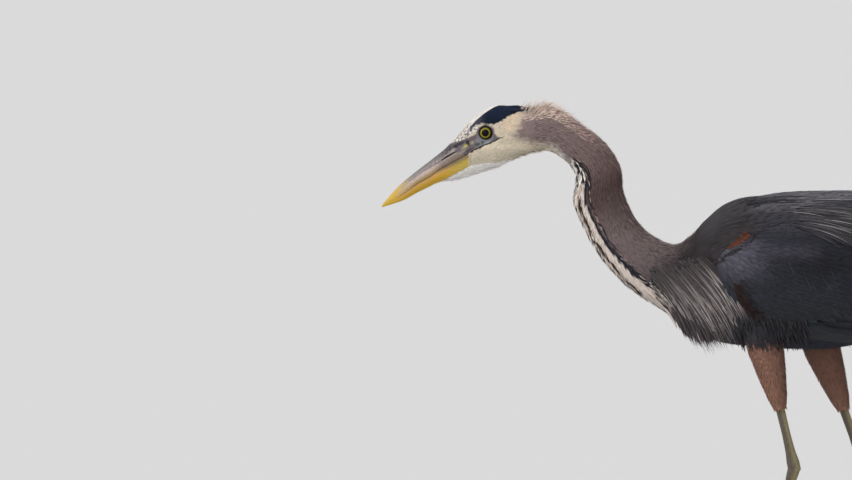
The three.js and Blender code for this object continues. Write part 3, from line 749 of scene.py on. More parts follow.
def foreneck_tone(points, u, low, plain):
    """Flecks down the front, then a cream band, then black streaks, on each side."""
    y, z = points[:, 1], points[:, 2]
    cream_in = np.interp(u, [8.6, 10.5, 12.5, 15, 16.5, 17.3], [0.74, 0.68, 0.64, 0.56, 0.38, 0.14])
    cream_out = np.interp(u, [8.6, 10.5, 12.5, 15, 17.5], [0.82, 0.90, 0.93, 0.95, 0.92])
    black_out = np.interp(u, [8.4, 10.5, 12.5, 15, 17.5], [0.92, 1.02, 1.08, 1.13, 1.0])
    low = low + 0.05 * wobble(y, z, 14.0, 5)
    speck = wobble(low * 60, u * 11, 9.0, 1) + 0.35 * wobble(y, z, 6.0, 1)
    flecks = picked(speck > 0.12, BLACK, picked(speck < -0.25, WHITE, (0.20, 0.11, 0.075)))
    flecks = mix(flecks, CREAM * 1.1, ramp(low, 0.2, 0.3) * ramp(wobble(low * 20, u * 6, 9.0, 4), -0.3, 0.1))
    line = ramp(np.abs(low - cream_in), 0.10, 0.05) * ramp(wobble(y, z, 34.0, 2), -0.75, -0.45)
    front = painted(
        CREAM,
        (flecks, ramp(low, cream_in + 0.02, cream_in - 0.04)),
        ((0.028, 0.017, 0.014), line * ramp(u, 16.8, 16.0)),
        (picked(wobble(y, z, 8.0, 6) > 0.05, BLACK, WHITE), ramp(u, 11.2, 10.6) * ramp(low, 1.05, 0.95)),
        (BLACK, ramp(low, cream_out - 0.03, cream_out + 0.03)),
    )
    here = ramp(u, 8.3, 8.9) * ramp(u, 18.5, 17.7) * ramp(low, black_out + 0.05, black_out - 0.05)
    return mix(plain, front, here)


def body_tone(points, u, a):
    """The coat's colour anywhere on the head, neck and trunk."""
    y, z = points[:, 1], points[:, 2]
    low = under_angle(a)
    tone = mix(tones(SIDE_TONES, u), tones(TOP_TONES, u), ramp(np.cos(a), 0.3, 0.95))
    edge = inside(MAUVE_NECK, y, z) + 2 * wobble(y, z, 9.0, 3) + 1.2 * wobble(z, y, 4.0, 1)
    pale = 1 - np.maximum(ramp(edge, -8, 7), ramp(u, 8.4, 9.2))
    tone = painted(
        tone,
        (mix(CHEEK, WHITE, ramp(u, 5.5, 8.5)), pale),
        (head_tone(points), ramp(y, -270, -276) * np.maximum(pale, ramp(inside(BLACK_CROWN, y, z), -1, 0))),
    )
    return painted(
        foreneck_tone(points, u, low, tone),
        (BLACK * 1.6, ramp(u, 17.6, 19) * ramp(low + 0.06 * wobble(y, z, 20.0), 1.0, 0.85)),
        (WHITE * 0.9, ramp(u, 24, 25.2) * ramp(low, 1.25, 0.95)),
    )


def dyed(tone, centre, edge, uneven=None):
    """A coat's colours, from one colour or a function of the place: each feather's centre and edge are so
    bright, after each feather is made so much darker or lighter at random."""
    def at(points, p, q):
        found = tone(points, p, q) if callable(tone) else np.broadcast_to(tone, points.shape)
        if uneven:
            found = found * rng.uniform(*uneven, (len(p), 1))
        return found * centre, found * edge

    return at


# ---------------------------------------------------------------- skin
SKIN_SIDES = 200
# The skin's bake map, in shares of it: how wide and tall the body's part is, the rim left round it, and where
# each leg's part starts and how wide it is.
BODY_MAP, MAP_RIM = (0.60, 0.98), 0.01
LEG_MAP, LEG_MAP_WIDTH = {"left": 0.63, "right": 0.81}, 0.17
THIGH_TONE = np.array([0.23, 0.12, 0.085])


def coat_depth(u):
    """How deep the skin lies under the body's surface, along its rows."""
    return np.interp(u, [-0.4, 0, 1, 3, 5, 8, 14, 18, 26], [0.6, 0.7, 1.3, 1.8, 3.5, 4.8, 5.2, 7.5, 7.5])


def eye_distance(points):
    """Distance from the eye's middle in the side view."""
    return np.hypot(points[:, 1] - EYE_AT[1], points[:, 2] - EYE_AT[2])


def face_relief(points, normals):
    """Moves the skin round the eyes, mouth and lores, in place."""
    x, y, z = points.T
    side = np.sign(x)
    near = (y < -295) & (np.abs(x) > 5)
    bare = ramp(inside(BARE_FACE, y, z), -0.5, 2) * near
    away, along = from_line(GAPE, y, z)
    groove = bell(away, 0.9) * near * ramp(along, 1.0, 0.9)
    lores = bare * bell(y + 354, 9) * bell(z - 619, 6)
    under_eye = bare * bell(y + 330, 10) * bell(z - 625, 2.5)
    points += normals * (-1.1 * groove - 1.0 * lores + 0.35 * under_eye)[:, None]
    r = eye_distance(points)
    ball = EYE_AT[0] + np.sqrt(np.maximum(EYE_RADIUS**2 - r**2, 0))
    crest = EYE_AT[0] + math.sqrt(EYE_RADIUS**2 - LID**2) + 1.0
    level = np.abs(points[:, 0])
    level = np.where(r < 12.5, blend(level, crest, ramp(r, 13.0, 10.0)), level)
    level = blend(level, np.minimum(ball, crest) - 1.5, ramp(r, 9.6, 8.7))
    points[:, 0] = np.where(near & (r < 13), side * level, points[:, 0])


def under_horn(points):
    """How far inside the horn's edge a place is, in the side view."""
    y, z = points[:, 1], points[:, 2]
    upper = z > np.interp(y, *np.array(MOUTH).T)
    return np.where(upper, inside(HORN["bill_upper"], y, z), inside(HORN["bill_lower"], y, z))


# Marks on the bare face: y, z, half length, half width, slope, colour and strength.
FACE_MARKS = [
    [-364, 611.6, 10, 2.3, 0.56, 0.23, 0.19, 0.17, 0.85],
    [-369, 621.6, 14, 2.8, 0.5, 0.02, 0.017, 0.024, 1],
    [-353.5, 614.8, 8, 1.9, 0.45, 0.04, 0.028, 0.03, 0.9],
    [-342.5, 628.5, 4.5, 3.5, 1.2, 0.17, 0.15, 0.165, 0.75],
    [-351, 629.2, 5, 2.2, 0.5, 0.075, 0.058, 0.072, 0.8],
    [-361.8, 617.2, 3, 1.7, 0.6, 0.24, 0.22, 0.17, 0.85],
    [-358.4, 620.3, 3.6, 2.3, 0.5, 0.38, 0.34, 0.1, 1],
    [-349.6, 624.5, 3.6, 2.4, 0.5, 0.24, 0.225, 0.15, 0.9],
    [-345.4, 632, 2.2, 2, 1.2, 0.04, 0.034, 0.045, 0.85],
    [-355.5, 625.4, 4.2, 2.7, 1.9, 0.004, 0.004, 0.006, 1],
    [-353.6, 622.4, 2, 1.4, 0.4, 0.04, 0.028, 0.012, 0.9],
    [-341.8, 622.9, 3.8, 2.2, 0.5, 0.03, 0.033, 0.041, 0.85],
    [-335.5, 625.6, 3, 2, 0.3, 0.04, 0.045, 0.053, 0.85],
    [-328.8, 625.4, 4.2, 1.8, 0.35, 0.24, 0.26, 0.28, 0.85],
    [-319.5, 629, 4.5, 1.6, 0.55, 0.07, 0.075, 0.094, 0.8],
    [-319.8, 641, 2, 5, 0, 0.21, 0.17, 0.235, 0.7],
]


def lore_tone(y, z):
    """Mottled bare skin between the bill and the eye."""
    tone = np.array([0.115, 0.094, 0.100]) * (1 + 0.35 * wobble(y, z, 4.5, 4)[:, None])
    tone = mix(tone, (0.15, 0.16, 0.165), ramp(y, -347, -339) * ramp(z + 0.25 * y, 553, 547))
    for at_y, at_z, long, wide, slope, *colour, share in FACE_MARKS:
        along = (y - at_y) * math.cos(slope) + (z - at_z) * math.sin(slope)
        off = (z - at_z) * math.cos(slope) - (y - at_y) * math.sin(slope)
        spot = np.hypot(along / long, off / wide) + 0.22 * wobble(y, z, 2.6, at_y)
        tone = mix(tone, colour, share * ramp(spot, 1.1, 0.6))
    return tone


def face_tone(points):
    """Bare skin of the lores, lids and mouth's edge; and how much of it shows at each place."""
    y, z = points[:, 1], points[:, 2]
    away, along = from_line(GAPE, y, z)
    width = np.interp(along, [0, 0.35, 0.55, 0.75, 1], [0.8, 1.7, 1.9, 1.2, 0.5])
    tone = painted(
        lore_tone(y, z),
        (BLACK, ramp(eye_distance(points), 9.8, 9.2)),
        ((0.022, 0.014, 0.013), ramp(away, width + 0.5, width - 0.3)),
    )
    return tone, ramp(inside(BARE_FACE, y, z), -1.0, 0.2)


def skin_part(points, faces, tone, scaly, bake):
    """A part of the skin: points, triangles, tint with its alpha, and bake map."""
    return points, faces, np.concatenate([tone, np.full((len(tone), 1), scaly, float)], 1), bake


def body_skin():
    """The head, neck and trunk under the coat, as one tube."""
    u = rising((-0.3, 4.4, 124), (4.4, 16.6, 78), (16.6, TAIL_ROOT + 0.2, 60))
    rows, angles = (g.ravel() for g in np.meshgrid(u, turns(SKIN_SIDES), indexing="ij"))
    surface, _, _, normals = place_on(body, rows, angles)
    depth = blend(coat_depth(rows), 0.15, ramp(inside(BARE_FACE, surface[:, 1], surface[:, 2]), -1.2, 0.3))
    depth = depth + 3.0 * ramp(under_horn(surface), 0.3, 2.5) * ramp(rows, 2.5, 1.5)
    points = surface - normals * depth[:, None]
    face_relief(points, normals)
    tone, share = face_tone(points)
    tone = mix(body_tone(points, rows, angles) * 0.7, tone, share * ramp(rows, 4, 3))
    tone = np.concatenate([tone, tone[:1], tone[-1:]])
    solid, faces = loft(points.reshape(len(u), SKIN_SIDES, 3))
    bake = np.concatenate([pairs(angles / TURN, (rows + 0.5) / (len(OVALS) + 1)), [[0.5, 0.0], [0.5, 1.0]]])
    return skin_part(solid, turned_out(solid, faces), tone, 0, bake * BODY_MAP + MAP_RIM)


# ---------------------------------------------------------------- legs
VOXEL = 1.05  # grain of the mesh that joins a leg's bones, in millimetres
LEG_FRONT, LEG_BACK = (0.11, 0.092, 0.07), (0.30, 0.25, 0.13)
TOE_TONE, SOLE_TONE = (0.13, 0.11, 0.08), (0.34, 0.29, 0.17)
SCUTE, CELL = 5.6, 3.1  # length of a front plate, and width of a side scale
TOE_PLATE, TOE_CELL = 3.4, (2.3, 2.0)  # the same on the toes, whose scales are longer than wide
PAD = [[0, 9.2], [1.2, 10.6], [4.5, 10.8], [8, 9.4], [11, 7.8], [15, 6.4], [20, 5.4]]  # height and radius
UP = np.array([0, 0, 1.0])
FAR = 1e9  # farther than any two places on the bird


def round_limb(low, high, radii, deep):
    """A limb along a straight bone, from stations of share and radius, deeper than wide."""
    shares, widths = np.array(radii).T
    t = np.linspace(shares[0], shares[-1], 40)
    smooth = np.convolve(np.pad(np.interp(t, shares, widths), 1, mode="edge"), [0.25, 0.5, 0.25], "valid")
    _, across, back = bone_axes(low, high)
    a = turns(20)[:, None]
    circle = across * np.cos(a) * 0.93 + back * np.sin(a) * deep
    return loft(low + (high - low) * t[:, None, None] + smooth[:, None, None] * circle)


def toe_frame(name, toe):
    """Where a foot's toe starts, its direction, the direction across it, and its length without the claw."""
    side, foot_y = LEGS[name][:2]
    turn, length, claw = TOES[toe]
    angle = math.radians(turn * side)
    ahead = np.array([-math.sin(angle), -math.cos(angle), 0])
    return np.array([side * FOOT_SPREAD, foot_y, 0]), ahead, np.array([ahead[1], -ahead[0], 0]), length - claw


def toe_loft(name, toe):
    """A toe lying on the floor, swollen at its joints."""
    start, ahead, across, length = toe_frame(name, toe)
    t = np.linspace(0, 1, 44)[:, None, None]
    radius = TOE_RADIUS * (1.12 - 0.27 * t) * (1 + 0.13 * np.cos(8 * math.pi * t))
    a = turns(16)[:, None]
    circle = across * np.cos(a) + 0.92 * UP * (1 + np.sin(a))
    return loft(start + ahead * (5 + (length - 5) * t) + radius * circle)


def pad_loft(name):
    """The pad under the tarsus."""
    side, foot_y = LEGS[name][:2]
    z, radius = np.array(PAD).T[:, :, None, None]
    a = turns(24)
    circle = np.stack([np.cos(a), np.sin(a), 0 * a], -1)
    return loft(np.array([side * FOOT_SPREAD, foot_y, 0]) + radius * circle + z * UP)


def fused(shapes):
    """The outer surface of overlapping closed shapes as one fine, slightly smoothed mesh."""
    points, faces = joined(shapes)
    mesh = bpy.data.meshes.new("fuse")
    mesh.from_pydata((points * MM).tolist(), [], faces.tolist())
    thing = bpy.data.objects.new("fuse", mesh)
    bpy.context.scene.collection.objects.link(thing)
    remesh = thing.modifiers.new("remesh", "REMESH")
    remesh.mode = "VOXEL"
    remesh.voxel_size = VOXEL * MM
    smooth = thing.modifiers.new("smooth", "SMOOTH")
    smooth.factor = 0.5
    smooth.iterations = 4
    result = thing.evaluated_get(bpy.context.evaluated_depsgraph_get()).to_mesh()
    result.calc_loop_triangles()

    def read(items, key, kind):
        values = np.empty(len(items) * 3, kind)
        items.foreach_get(key, values)
        return values.reshape(-1, 3)

    found, normals = (read(result.vertices, key, np.float32).astype(float) for key in ("co", "normal"))
    corners = read(result.loop_triangles, "vertices", np.int32)
    bpy.data.objects.remove(thing)
    bpy.data.meshes.remove(mesh)
    return found / MM, corners, normals


def cell_edge(s, t):
    """0 at the borders of a staggered pattern of round scales, 1 in their middles."""
    nearest = []
    for row in (-1, 0, 1):
        line = np.floor(t) + row
        shift = 0.5 * (line % 2)
        for step in (0, 1):
            column = np.floor(s - shift) + step
            nearest.append(np.hypot(s - column - shift, (t - line - 0.5) * 0.87))
    nearest = np.sort(np.stack(nearest), axis=0)
    return ramp(nearest[1] - nearest[0], 0.02, 0.3)


def plate_edge(s, low):
    """0 at the borders between plates, each 1 long, 1 in their middles."""
    return ramp(np.abs(s % 1 - 0.5), 0.5, low)


def leg_bone_looks(points, low, high, row):
    """Plates down the front of a bone and scales round the rest: how far each place is from the bone, its
    relief, colour and place in the map."""
    up = unit(high - low)
    s = (points - low) @ up
    off = points - low - s[:, None] * up
    angle = np.arctan2(off[:, 0], -off[:, 1])
    away = np.linalg.norm(off, axis=1) - 6 + np.maximum(0, -s) + np.maximum(0, s - np.linalg.norm(high - low))
    plate = plate_edge(s / SCUTE + 0.25 * np.abs(angle), 0.38)
    cells = cell_edge(s / CELL, angle * 5.5 / CELL)
    front = ramp(np.abs(angle), 1.0, 0.8)
    tone = mix(LEG_BACK, LEG_FRONT, ramp(np.abs(angle), 2.3, 1.2))
    tone = tone * (0.62 + 0.38 * blend(cells, plate, front)[:, None])
    place = pairs(0.05 * angle / math.pi + 0.5 + 0.13 * row, s / 250)
    return away, blend(0.28 * cells, 0.42 * plate, front), tone, place


def toe_looks(points, name, toe, row):
    """The same for a toe."""
    start, ahead, across, _ = toe_frame(name, toe)
    z = points[:, 2]
    s, off = (points - start) @ ahead, (points - start) @ across
    away = np.hypot(off, z - 3) - 3 + np.maximum(0, 8 - s) * 1.5
    plate, cells = plate_edge(s / TOE_PLATE, 0.36), cell_edge(s / TOE_CELL[0], off / TOE_CELL[1])
    top = ramp(z, 2.2, 4.0)
    tone = mix(SOLE_TONE, TOE_TONE, ramp(z, 0.8, 2.6)) * (0.6 + 0.4 * blend(cells, plate, top)[:, None])
    place = pairs(0.4 * off / 40 + 0.1 + 0.18 * row, 1.1 + s / 350)
    return np.where(z < 11, away, FAR), blend(0.16 * cells, 0.34 * plate, top), tone, place


def leg_skin(name):
    """A bare leg and foot, fused, with plates down the front, scales round the rest, and toe plates."""
    pad_top, ankle, knee = leg_joints(name)
    tarsus, tibia = round_limb(pad_top, ankle, TARSUS_RADII, 1.06), round_limb(ankle, knee, TIBIA_RADII, 1.04)
    points, faces, normals = fused([tarsus, tibia, pad_loft(name), *(toe_loft(name, toe) for toe in TOES)])
    looks = [leg_bone_looks(points, pad_top, ankle, 0), leg_bone_looks(points, ankle, knee, 1)]
    looks += [toe_looks(points, name, toe, row) for row, toe in enumerate(TOES)]
    nearest, height, tone, bake = np.full(len(points), FAR), 0, TOE_TONE, (0, 0)
    for away, relief, colour, place in looks:
        here = away < nearest
        height = np.where(here, relief, height)
        tone, bake = picked(here, colour, tone), picked(here, place, bake)
        nearest = np.minimum(nearest, away)
    points = points + normals * (height - 0.3)[:, None]
    points[:, 2] = np.maximum(points[:, 2], 0.02)
    bake = pairs(LEG_MAP[name] + LEG_MAP_WIDTH * np.clip(bake[:, 0], 0, 1), MAP_RIM + 0.66 * bake[:, 1])
    return skin_part(points, turned_out(points, faces), tone, 1, bake)


def thigh_skin(name):
    """The skin under the thigh's feathers."""
    p, q = np.meshgrid(np.linspace(0.375, 0.99, 24), turns(40), indexing="ij")
    depth = np.interp(p, [0.375, 0.5, 1], [1.5, 5.0, 6.5])
    surface, _, _, normals = place_on(thigh(name), p, q)
    points, faces = loft(surface - depth[..., None] * normals)
    bake = np.concatenate([pairs(q / TURN, p).reshape(-1, 2), [[0.5, 0.37], [0.5, 1.0]]])
    bake = bake * [LEG_MAP_WIDTH, 0.2] + [LEG_MAP[name], 0.78]
    tone = np.broadcast_to(THIGH_TONE * 0.7, points.shape)
    return skin_part(points, turned_out(points, faces), tone, 0, bake)


def build_skin():
    """The bare face and legs, and the skin under the coats, as one piece."""
    parts = [body_skin()]
    nodes = ["head", "neck_nape", "neck_bend", "neck_middle", "neck_base", "trunk"]
    for name in LEGS:
        parts += [thigh_skin(name), leg_skin(name)]
        nodes += [f"{part}_{name}" for part in ("thigh", "tibia", "tarsus", "foot")]
        nodes += [f"toe_{name}_{toe}" for toe in TOES]
    starts = np.cumsum([0] + [len(part[0]) for part in parts])
    faces = np.concatenate([part[1] + start for part, start in zip(parts, starts)])
    points, tints, bakes = (np.concatenate([part[k] for part in parts]) for k in (0, 2, 3))
    bake = bakes[faces]
    # where the unwrap closes round the body, its last column runs on past the edge
    wraps = (np.ptp(bake[..., 0], axis=1) > 0.3)[:, None] & (bake[..., 0] < 0.3)
    bake[..., 0] += np.where(wraps, BODY_MAP[0], 0)
    print("skin:", len(faces), "triangles")
    new_mesh("skin", points, faces, "skin", nodes, tints, {"OFBake": bake.reshape(-1, 2)})


# ---------------------------------------------------------------- bill, eyes and claws
def lip_angle(u):
    """The angle on the bill's and face's ovals at which the jaws meet."""
    top_y, top_z, low_y, low_z = np.moveaxis(body_row(u + BILL_ROWS), -1, 0)[:4, :, None]
    share = np.linspace(0, 1, 2400)
    away, _ = from_line(MOUTH, top_y + (low_y - top_y) * share, top_z + (low_z - top_z) * share)
    return np.arccos(np.clip(1 - 2 * share[np.argmin(away, axis=1)], -1, 1))


# Colours across the jaws, from rows of height (0 at the lip, 1 at the ridge) and colour.
UPPER_FORE = [
    [0, 0.09, 0.05, 0.025], [0.04, 0.26, 0.17, 0.05], [0.16, 0.29, 0.2, 0.09], [0.24, 0.37, 0.28, 0.235],
    [0.41, 0.39, 0.31, 0.29], [0.48, 0.19, 0.165, 0.16], [0.85, 0.16, 0.15, 0.135], [1, 0.26, 0.235, 0.19],
]
UPPER_NEAR = [
    [0, 0.05, 0.035, 0.03], [0.05, 0.15, 0.1, 0.065], [0.2, 0.2, 0.155, 0.135], [0.36, 0.28, 0.235, 0.215],
    [0.44, 0.12, 0.102, 0.112], [0.75, 0.085, 0.07, 0.085], [0.93, 0.1, 0.088, 0.09], [1, 0.25, 0.22, 0.18],
]
LOWER_BANDS = [
    [0, 0.14, 0.07, 0.02], [0.04, 0.4, 0.23, 0.06], [0.12, 0.5, 0.29, 0.075], [0.26, 0.5, 0.28, 0.05],
    [0.36, 0.5, 0.295, 0.016], [0.62, 0.47, 0.275, 0.012], [0.76, 0.54, 0.37, 0.03], [1, 0.54, 0.39, 0.04],
]


def horn_grain(y, z, seed):
    """Long uneven streaks along the bill."""
    return wobble(y * 0.3 + z * 0.35, z * 0.9 - y * 0.7, 3.0, seed)


def back_share(u):
    """The share of the way back from the bill's tip, 1 at the face."""
    return (u + BILL_ROWS) / BILL_ROWS


def upper_tone(points, u, height):
    """Colours of the upper jaw, with its marks."""
    y, z = points[:, 1], points[:, 2]
    share = back_share(u)
    grain = 0.06 * horn_grain(y, z, 2)
    height = height + grain * ramp(height, 0.06, 0.2)
    fleck = ramp(wobble(y * 0.7, z * 1.4 - y * 0.3, 4.0, 6), 0.25, 0.7)[:, None]
    near = tones(UPPER_NEAR, height) * (1 + (0.9 * ramp(height, 0.42, 0.5)[:, None] - 0.35) * fleck)
    dark = np.maximum(
        ramp(share + grain, 0.95, 1.06) * ramp(height, 0.42, 0.50),
        ramp(share - 0.25 * height, 1.10, 1.18) * ramp(height, 0.30, 0.42),
    )
    tone = painted(
        tones(UPPER_FORE, height),
        (near, ramp(share + grain, 0.72, 0.98)),
        (np.array([0.034, 0.028, 0.034]) * (1 + 0.9 * fleck), 0.92 * dark),
        ((0.42, 0.30, 0.14), 0.75 * ramp(share + grain, 0.50, 0.30)),
        ((0.52, 0.325, 0.027), ramp(share + 0.5 * grain - 0.12 * height, 0.30, 0.12)),
    )
    return upper_marks(tone, y, z, share, height)


def upper_marks(tone, y, z, share, height):
    """Fine dark lines along the horn, the strongest running on from the nostril, and the nostril with a
    painted highlight below.
    """
    lines = wobble((y * 0.84 + z * 0.54) * 0.12, (z * 0.84 - y * 0.54) * 1.0, 1.5, 9)
    tone = tone * (1 - 0.3 * ramp(lines, 0.3, 0.8) * ramp(share, 0.25, 0.5) * ramp(height, 0.2, 0.3))[:, None]
    streak, down = from_line(NOSTRIL_STREAK, y, z)
    away, along = from_line(NOSTRIL, y, z)
    slit = 0.5 + 0.95 * np.sin(math.pi * (0.1 + 0.85 * along))
    # toward its rear edge the horn takes on the colours of the skin behind it
    rear = ramp(inside(HORN["bill_upper"], y, z), 6.0, 1.0) * ramp(height, 0.04, 0.10)
    return painted(
        tone,
        ((0.06, 0.048, 0.055), (0.8 - 0.5 * down) * ramp(streak, 1.3, 0.5) * ramp(share, 0.3, 0.5)),
        # a painted highlight along the nostril's lower edge
        ((0.40, 0.33, 0.30), 0.6 * ramp(away, 2.6, 1.8) * ramp(height, 0.42, 0.38) * ramp(along, 0.95, 0.8)),
        ((0.006, 0.004, 0.004), ramp(away, slit + 0.2, slit - 0.3)),
        (lore_tone(y, z), rear),
    )


def lower_tone(points, u, height):
    """Colours of the lower jaw."""
    y, z = points[:, 1], points[:, 2]
    share = back_share(u)
    height = height + 0.05 * horn_grain(y, z, 5) * ramp(height, 0.06, 0.2)
    return painted(
        tones(LOWER_BANDS, height),
        (mix((0.44, 0.33, 0.055), (0.50, 0.40, 0.085), ramp(height, 0.3, 0.6)), 0.9 * ramp(y, -390, -363)),
        ((0.13, 0.095, 0.06), 0.8 * ramp(height, 0.20, 0.02) * ramp(share, 0.85, 1.05)),
        (CHEEK * 0.82, ramp(y + 1.5 * wobble(y, z, 4.0) + 3 * height, -355.5, -351)),
        ((0.54, 0.345, 0.028), ramp(share, 0.34, 0.08)),
    )


def build_jaw(name):
    """A jaw with a closed section, whose horn runs back over the face and sinks into the skin."""
    upper = name == "bill_upper"
    u = rising((-4, -3.6, 14), (-3.6, -0.6, 80), (-0.6, 1.7, 110))
    limit, gap = lip_angle(u)[:, None], 0.004
    share = np.linspace(-1, 1, 129)
    height = 1 - np.abs(share)
    a = (limit - gap) * share if upper else math.pi + (math.pi - limit - gap) * share
    rows = np.broadcast_to(u[:, None], a.shape)
    points, _, _, normals = place_on(body, rows, a)
    y, z = points[..., 1], points[..., 2]
    on_bill = ramp(rows, 0.1, -0.3)
    if upper:
        # flatter sides than an oval's, with a narrow ridge, a nostril slit and the groove before it
        points[..., 0] *= 1 - on_bill * 0.10 * np.sin(2 * np.abs(a)) * ramp(height, 0.0, 0.3)
        slit, _ = from_line(NOSTRIL, y, z)
        points -= normals * (1.7 * bell(slit, 0.95))[..., None]
        groove, along = from_line(NOSTRIL_GROOVE, y, z)
        points -= normals * (0.45 * bell(groove, 1.3) * ramp(along, 1.0, 0.5))[..., None]
    level = 0.32 - 1.5 * ramp(-inside(HORN[name], y, z), -1.0, 1.2)
    points += normals * (level * (1 - on_bill))[..., None]
    tone_of = upper_tone if upper else lower_tone
    tone = tone_of(points.reshape(-1, 3), rows.ravel(), np.broadcast_to(height, a.shape).ravel())
    solid, faces = loft(points)
    tone = np.concatenate([tone, tone[:1], tone[-1:]])
    new_mesh(name, solid, turned_out(solid, faces), "bill", [name], tone)


def build_eye(name, side):
    """Eyeball with a slightly domed cornea. Its iris and pupil are rings round the axis."""
    axis = unit(np.array([side, -0.06, -0.02]))
    second = unit(np.cross(axis, UP))
    third = np.cross(axis, second)
    polar = rising((0.004, 1.25, 60), (1.25, math.pi - 0.01, 16))
    a = turns(72)
    r = EYE_RADIUS * np.sin(polar)
    front = polar < 1.5
    dome = np.where(front, 0.7 * ramp(r, 8.6, 2.0), 0)
    rings = EYE_AT * [side, 1, 1] + axis * (EYE_RADIUS * np.cos(polar) + dome)[:, None, None]
    rings = rings + r[:, None, None] * (second * np.cos(a)[:, None] + third * np.sin(a)[:, None])
    solid, faces = loft(rings)
    radius = np.broadcast_to(np.where(front, r, 99)[:, None], rings.shape[:2])
    spoke = 0.5 + 0.5 * np.sin(a * 31 + 2.5 * np.sin(a * 7)) * np.sin(a * 17 + radius)
    pupil_or_rim = np.maximum(ramp(radius, PUPIL + 0.3, PUPIL - 0.1), ramp(radius, IRIS - 0.25, IRIS + 0.2))
    tone = painted(
        np.array([0.150, 0.128, 0.011]) * (0.78 + 0.3 * spoke[..., None]),
        ((0.27, 0.24, 0.036), ramp(np.abs(radius - 5.7), 0.8, 0.1)),
        ((0.085, 0.062, 0.006), 0.85 * ramp(radius, IRIS - 1.1, IRIS)),
        ((0.004, 0.004, 0.005), pupil_or_rim),
    )
    tone = np.concatenate([tone.reshape(-1, 3), np.full((2, 3), 0.004)])
    new_mesh(name, solid, turned_out(solid, faces), "eye", [name], tone)


def claw_loft(name, toe):
    """A curved claw with its point down to the floor."""
    start, ahead, across, toe_end = toe_frame(name, toe)
    t = np.linspace(0, 1, 18)[:, None, None]
    radius = CLAW_RADIUS * (1 - 0.93 * t**1.2) * np.minimum(1, 0.5 + 2.5 * t)
    lift = CLAW_RADIUS * (0.9 + 0.6 * np.sin(math.pi * np.minimum(1, 0.25 + 0.75 * t))) * (1 - t**2) + radius
    a = turns(14)[:, None]
    circle = across * 0.78 * np.cos(a) + UP * np.sin(a)
    return loft(start + ahead * (toe_end - 4 + (TOES[toe][2] + 3.7) * t) + UP * lift + radius * circle)


def build_claws(name):
    """The four claws of a foot as one piece."""
    points, faces = joined([claw_loft(name, toe) for toe in TOES])
    tone = mix((0.03, 0.026, 0.024), (0.10, 0.085, 0.07), ramp(points[:, 2], 2, 0))
    nodes = [f"claw_{name}_{toe}" for toe in TOES]
    new_mesh(f"claws_{name}", points, faces, "claw", nodes, tone)


# ---------------------------------------------------------------- coat of the head, neck and trunk
ALL_ROUND = (0, TURN)
THROAT_TUFTS, CROWN_PLUMES, NECK_HAIRS = 420, 170, 420  # how many feathers


def nape_and_rim_tone(points, p, q):
    """Pale on the head's back, and twice as light as the neck's top behind it, as a painted rim light."""
    return mix((0.70, 0.57, 0.485), 2.0 * tones(TOP_TONES, p), ramp(p, 5.2, 8.6))


def streak_tone(points, p, q):
    """Black, with a brown feather here and there."""
    return picked(rng.random(len(p)) < 0.86, BLACK, (0.30, 0.24, 0.21))


coat_colour = dyed(body_tone, 1.08, 0.86)
fleck_colour = dyed(body_tone, 1, 0.85)
nape_and_rim_colour = dyed(nape_and_rim_tone, 1, 0.88, (0.78, 1.3))


def clear_of_face(p, q):
    """Those places on the head that lie clear of the bare face, the horn and the eye."""
    place = body(p, q)
    y, z = place[:, 1], place[:, 2]
    inner = np.maximum(inside(BARE_FACE, y, z), inside(COAT_EDGE, y, z))
    keep = (inner < rng.uniform(-1.2, 0.9, len(y))) & (eye_distance(place) > EYE_RADIUS + 0.2)
    return p[keep], q[keep]


def build_head_coat():
    """Short feathers of the head, with tufts under the throat and at the back of the crown."""
    coat = Coat("head_feathers", "head_plumage")
    p, q = clear_of_face(*scatter(body, (0.02, 4.9), ALL_ROUND, 1.55, 1.2))
    length, width = np.interp(p, [0, 1.5, 3, 4.9], [2.8, 4.2, 6.0, 9.0]), np.interp(p, [0, 4.9], [1.3, 2.0])
    root = -coat_depth(p) * 0.8
    coat.lay_back(p, q, length, width, coat_colour, rings=2, root=root, thick=0.25, dark_root=0.85)
    # loose tufts along the chin and throat
    p, q = clear_of_face(rng.uniform(0.5, 5.4, THROAT_TUFTS), rng.normal(math.pi, 0.42, THROAT_TUFTS))
    coat.lay_back(
        p, q, rng.uniform(5, 11, len(p)), 1.5, coat_colour,
        root=-1.5, tip=rng.uniform(0.5, 3.2, len(p)), thick=0.3, dark_root=0.9,
    )
    # the loose black feathers at the back of the crown
    p, q = rng.uniform(3.5, 4.6, CROWN_PLUMES), rng.uniform(-0.62, 0.62, CROWN_PLUMES)
    coat.lay_back(
        p, q, rng.uniform(10, 19, CROWN_PLUMES), 1.7, dyed(INK, 1, 0.8),
        rings=4, root=-1.0, tip=rng.uniform(0.4, 2.6, CROWN_PLUMES),
    )
    coat.finish()


def neck_coat(name, rows):
    """The coat of one stretch of the neck, still to be finished."""
    coat = Coat(name, "neck_plumage")
    p, q = scatter(body, rows, ALL_ROUND, 2.9, 1.9)
    length, width = np.interp(p, [4.5, 8, 17], [11, 15, 20]), np.interp(p, [4.5, 17], [2.0, 2.9])
    root = -coat_depth(p) * 0.8
    coat.lay_back(p, q, length, width, coat_colour, root=root, tip=0.3, thick=0.3, dark_root=0.8)
    return coat


def build_upper_neck():
    coat = neck_coat("upper_neck_feathers", (4.3, 11.0))
    # feathers raised all over the nape
    p, q = scatter(body, (4.3, 8.4), (-1.1, 1.1), 2.6, 1.9)
    raised = np.interp(p, [4.3, 5.0, 6.3, 8.4], [12, 15, 10, 2.5])
    raised = raised * np.interp(np.abs(q), [0, 0.6, 1.1], [1, 0.7, 0.15])
    coat.lay_back(
        p, q, rng.uniform(8, 16, len(p)), 1.0, nape_and_rim_colour,
        root=-3.0, tip=raised * rng.uniform(0.15, 1.2, len(p)), thick=0.25, curl=1.3, dark_root=0.8,
    )
    coat.finish()


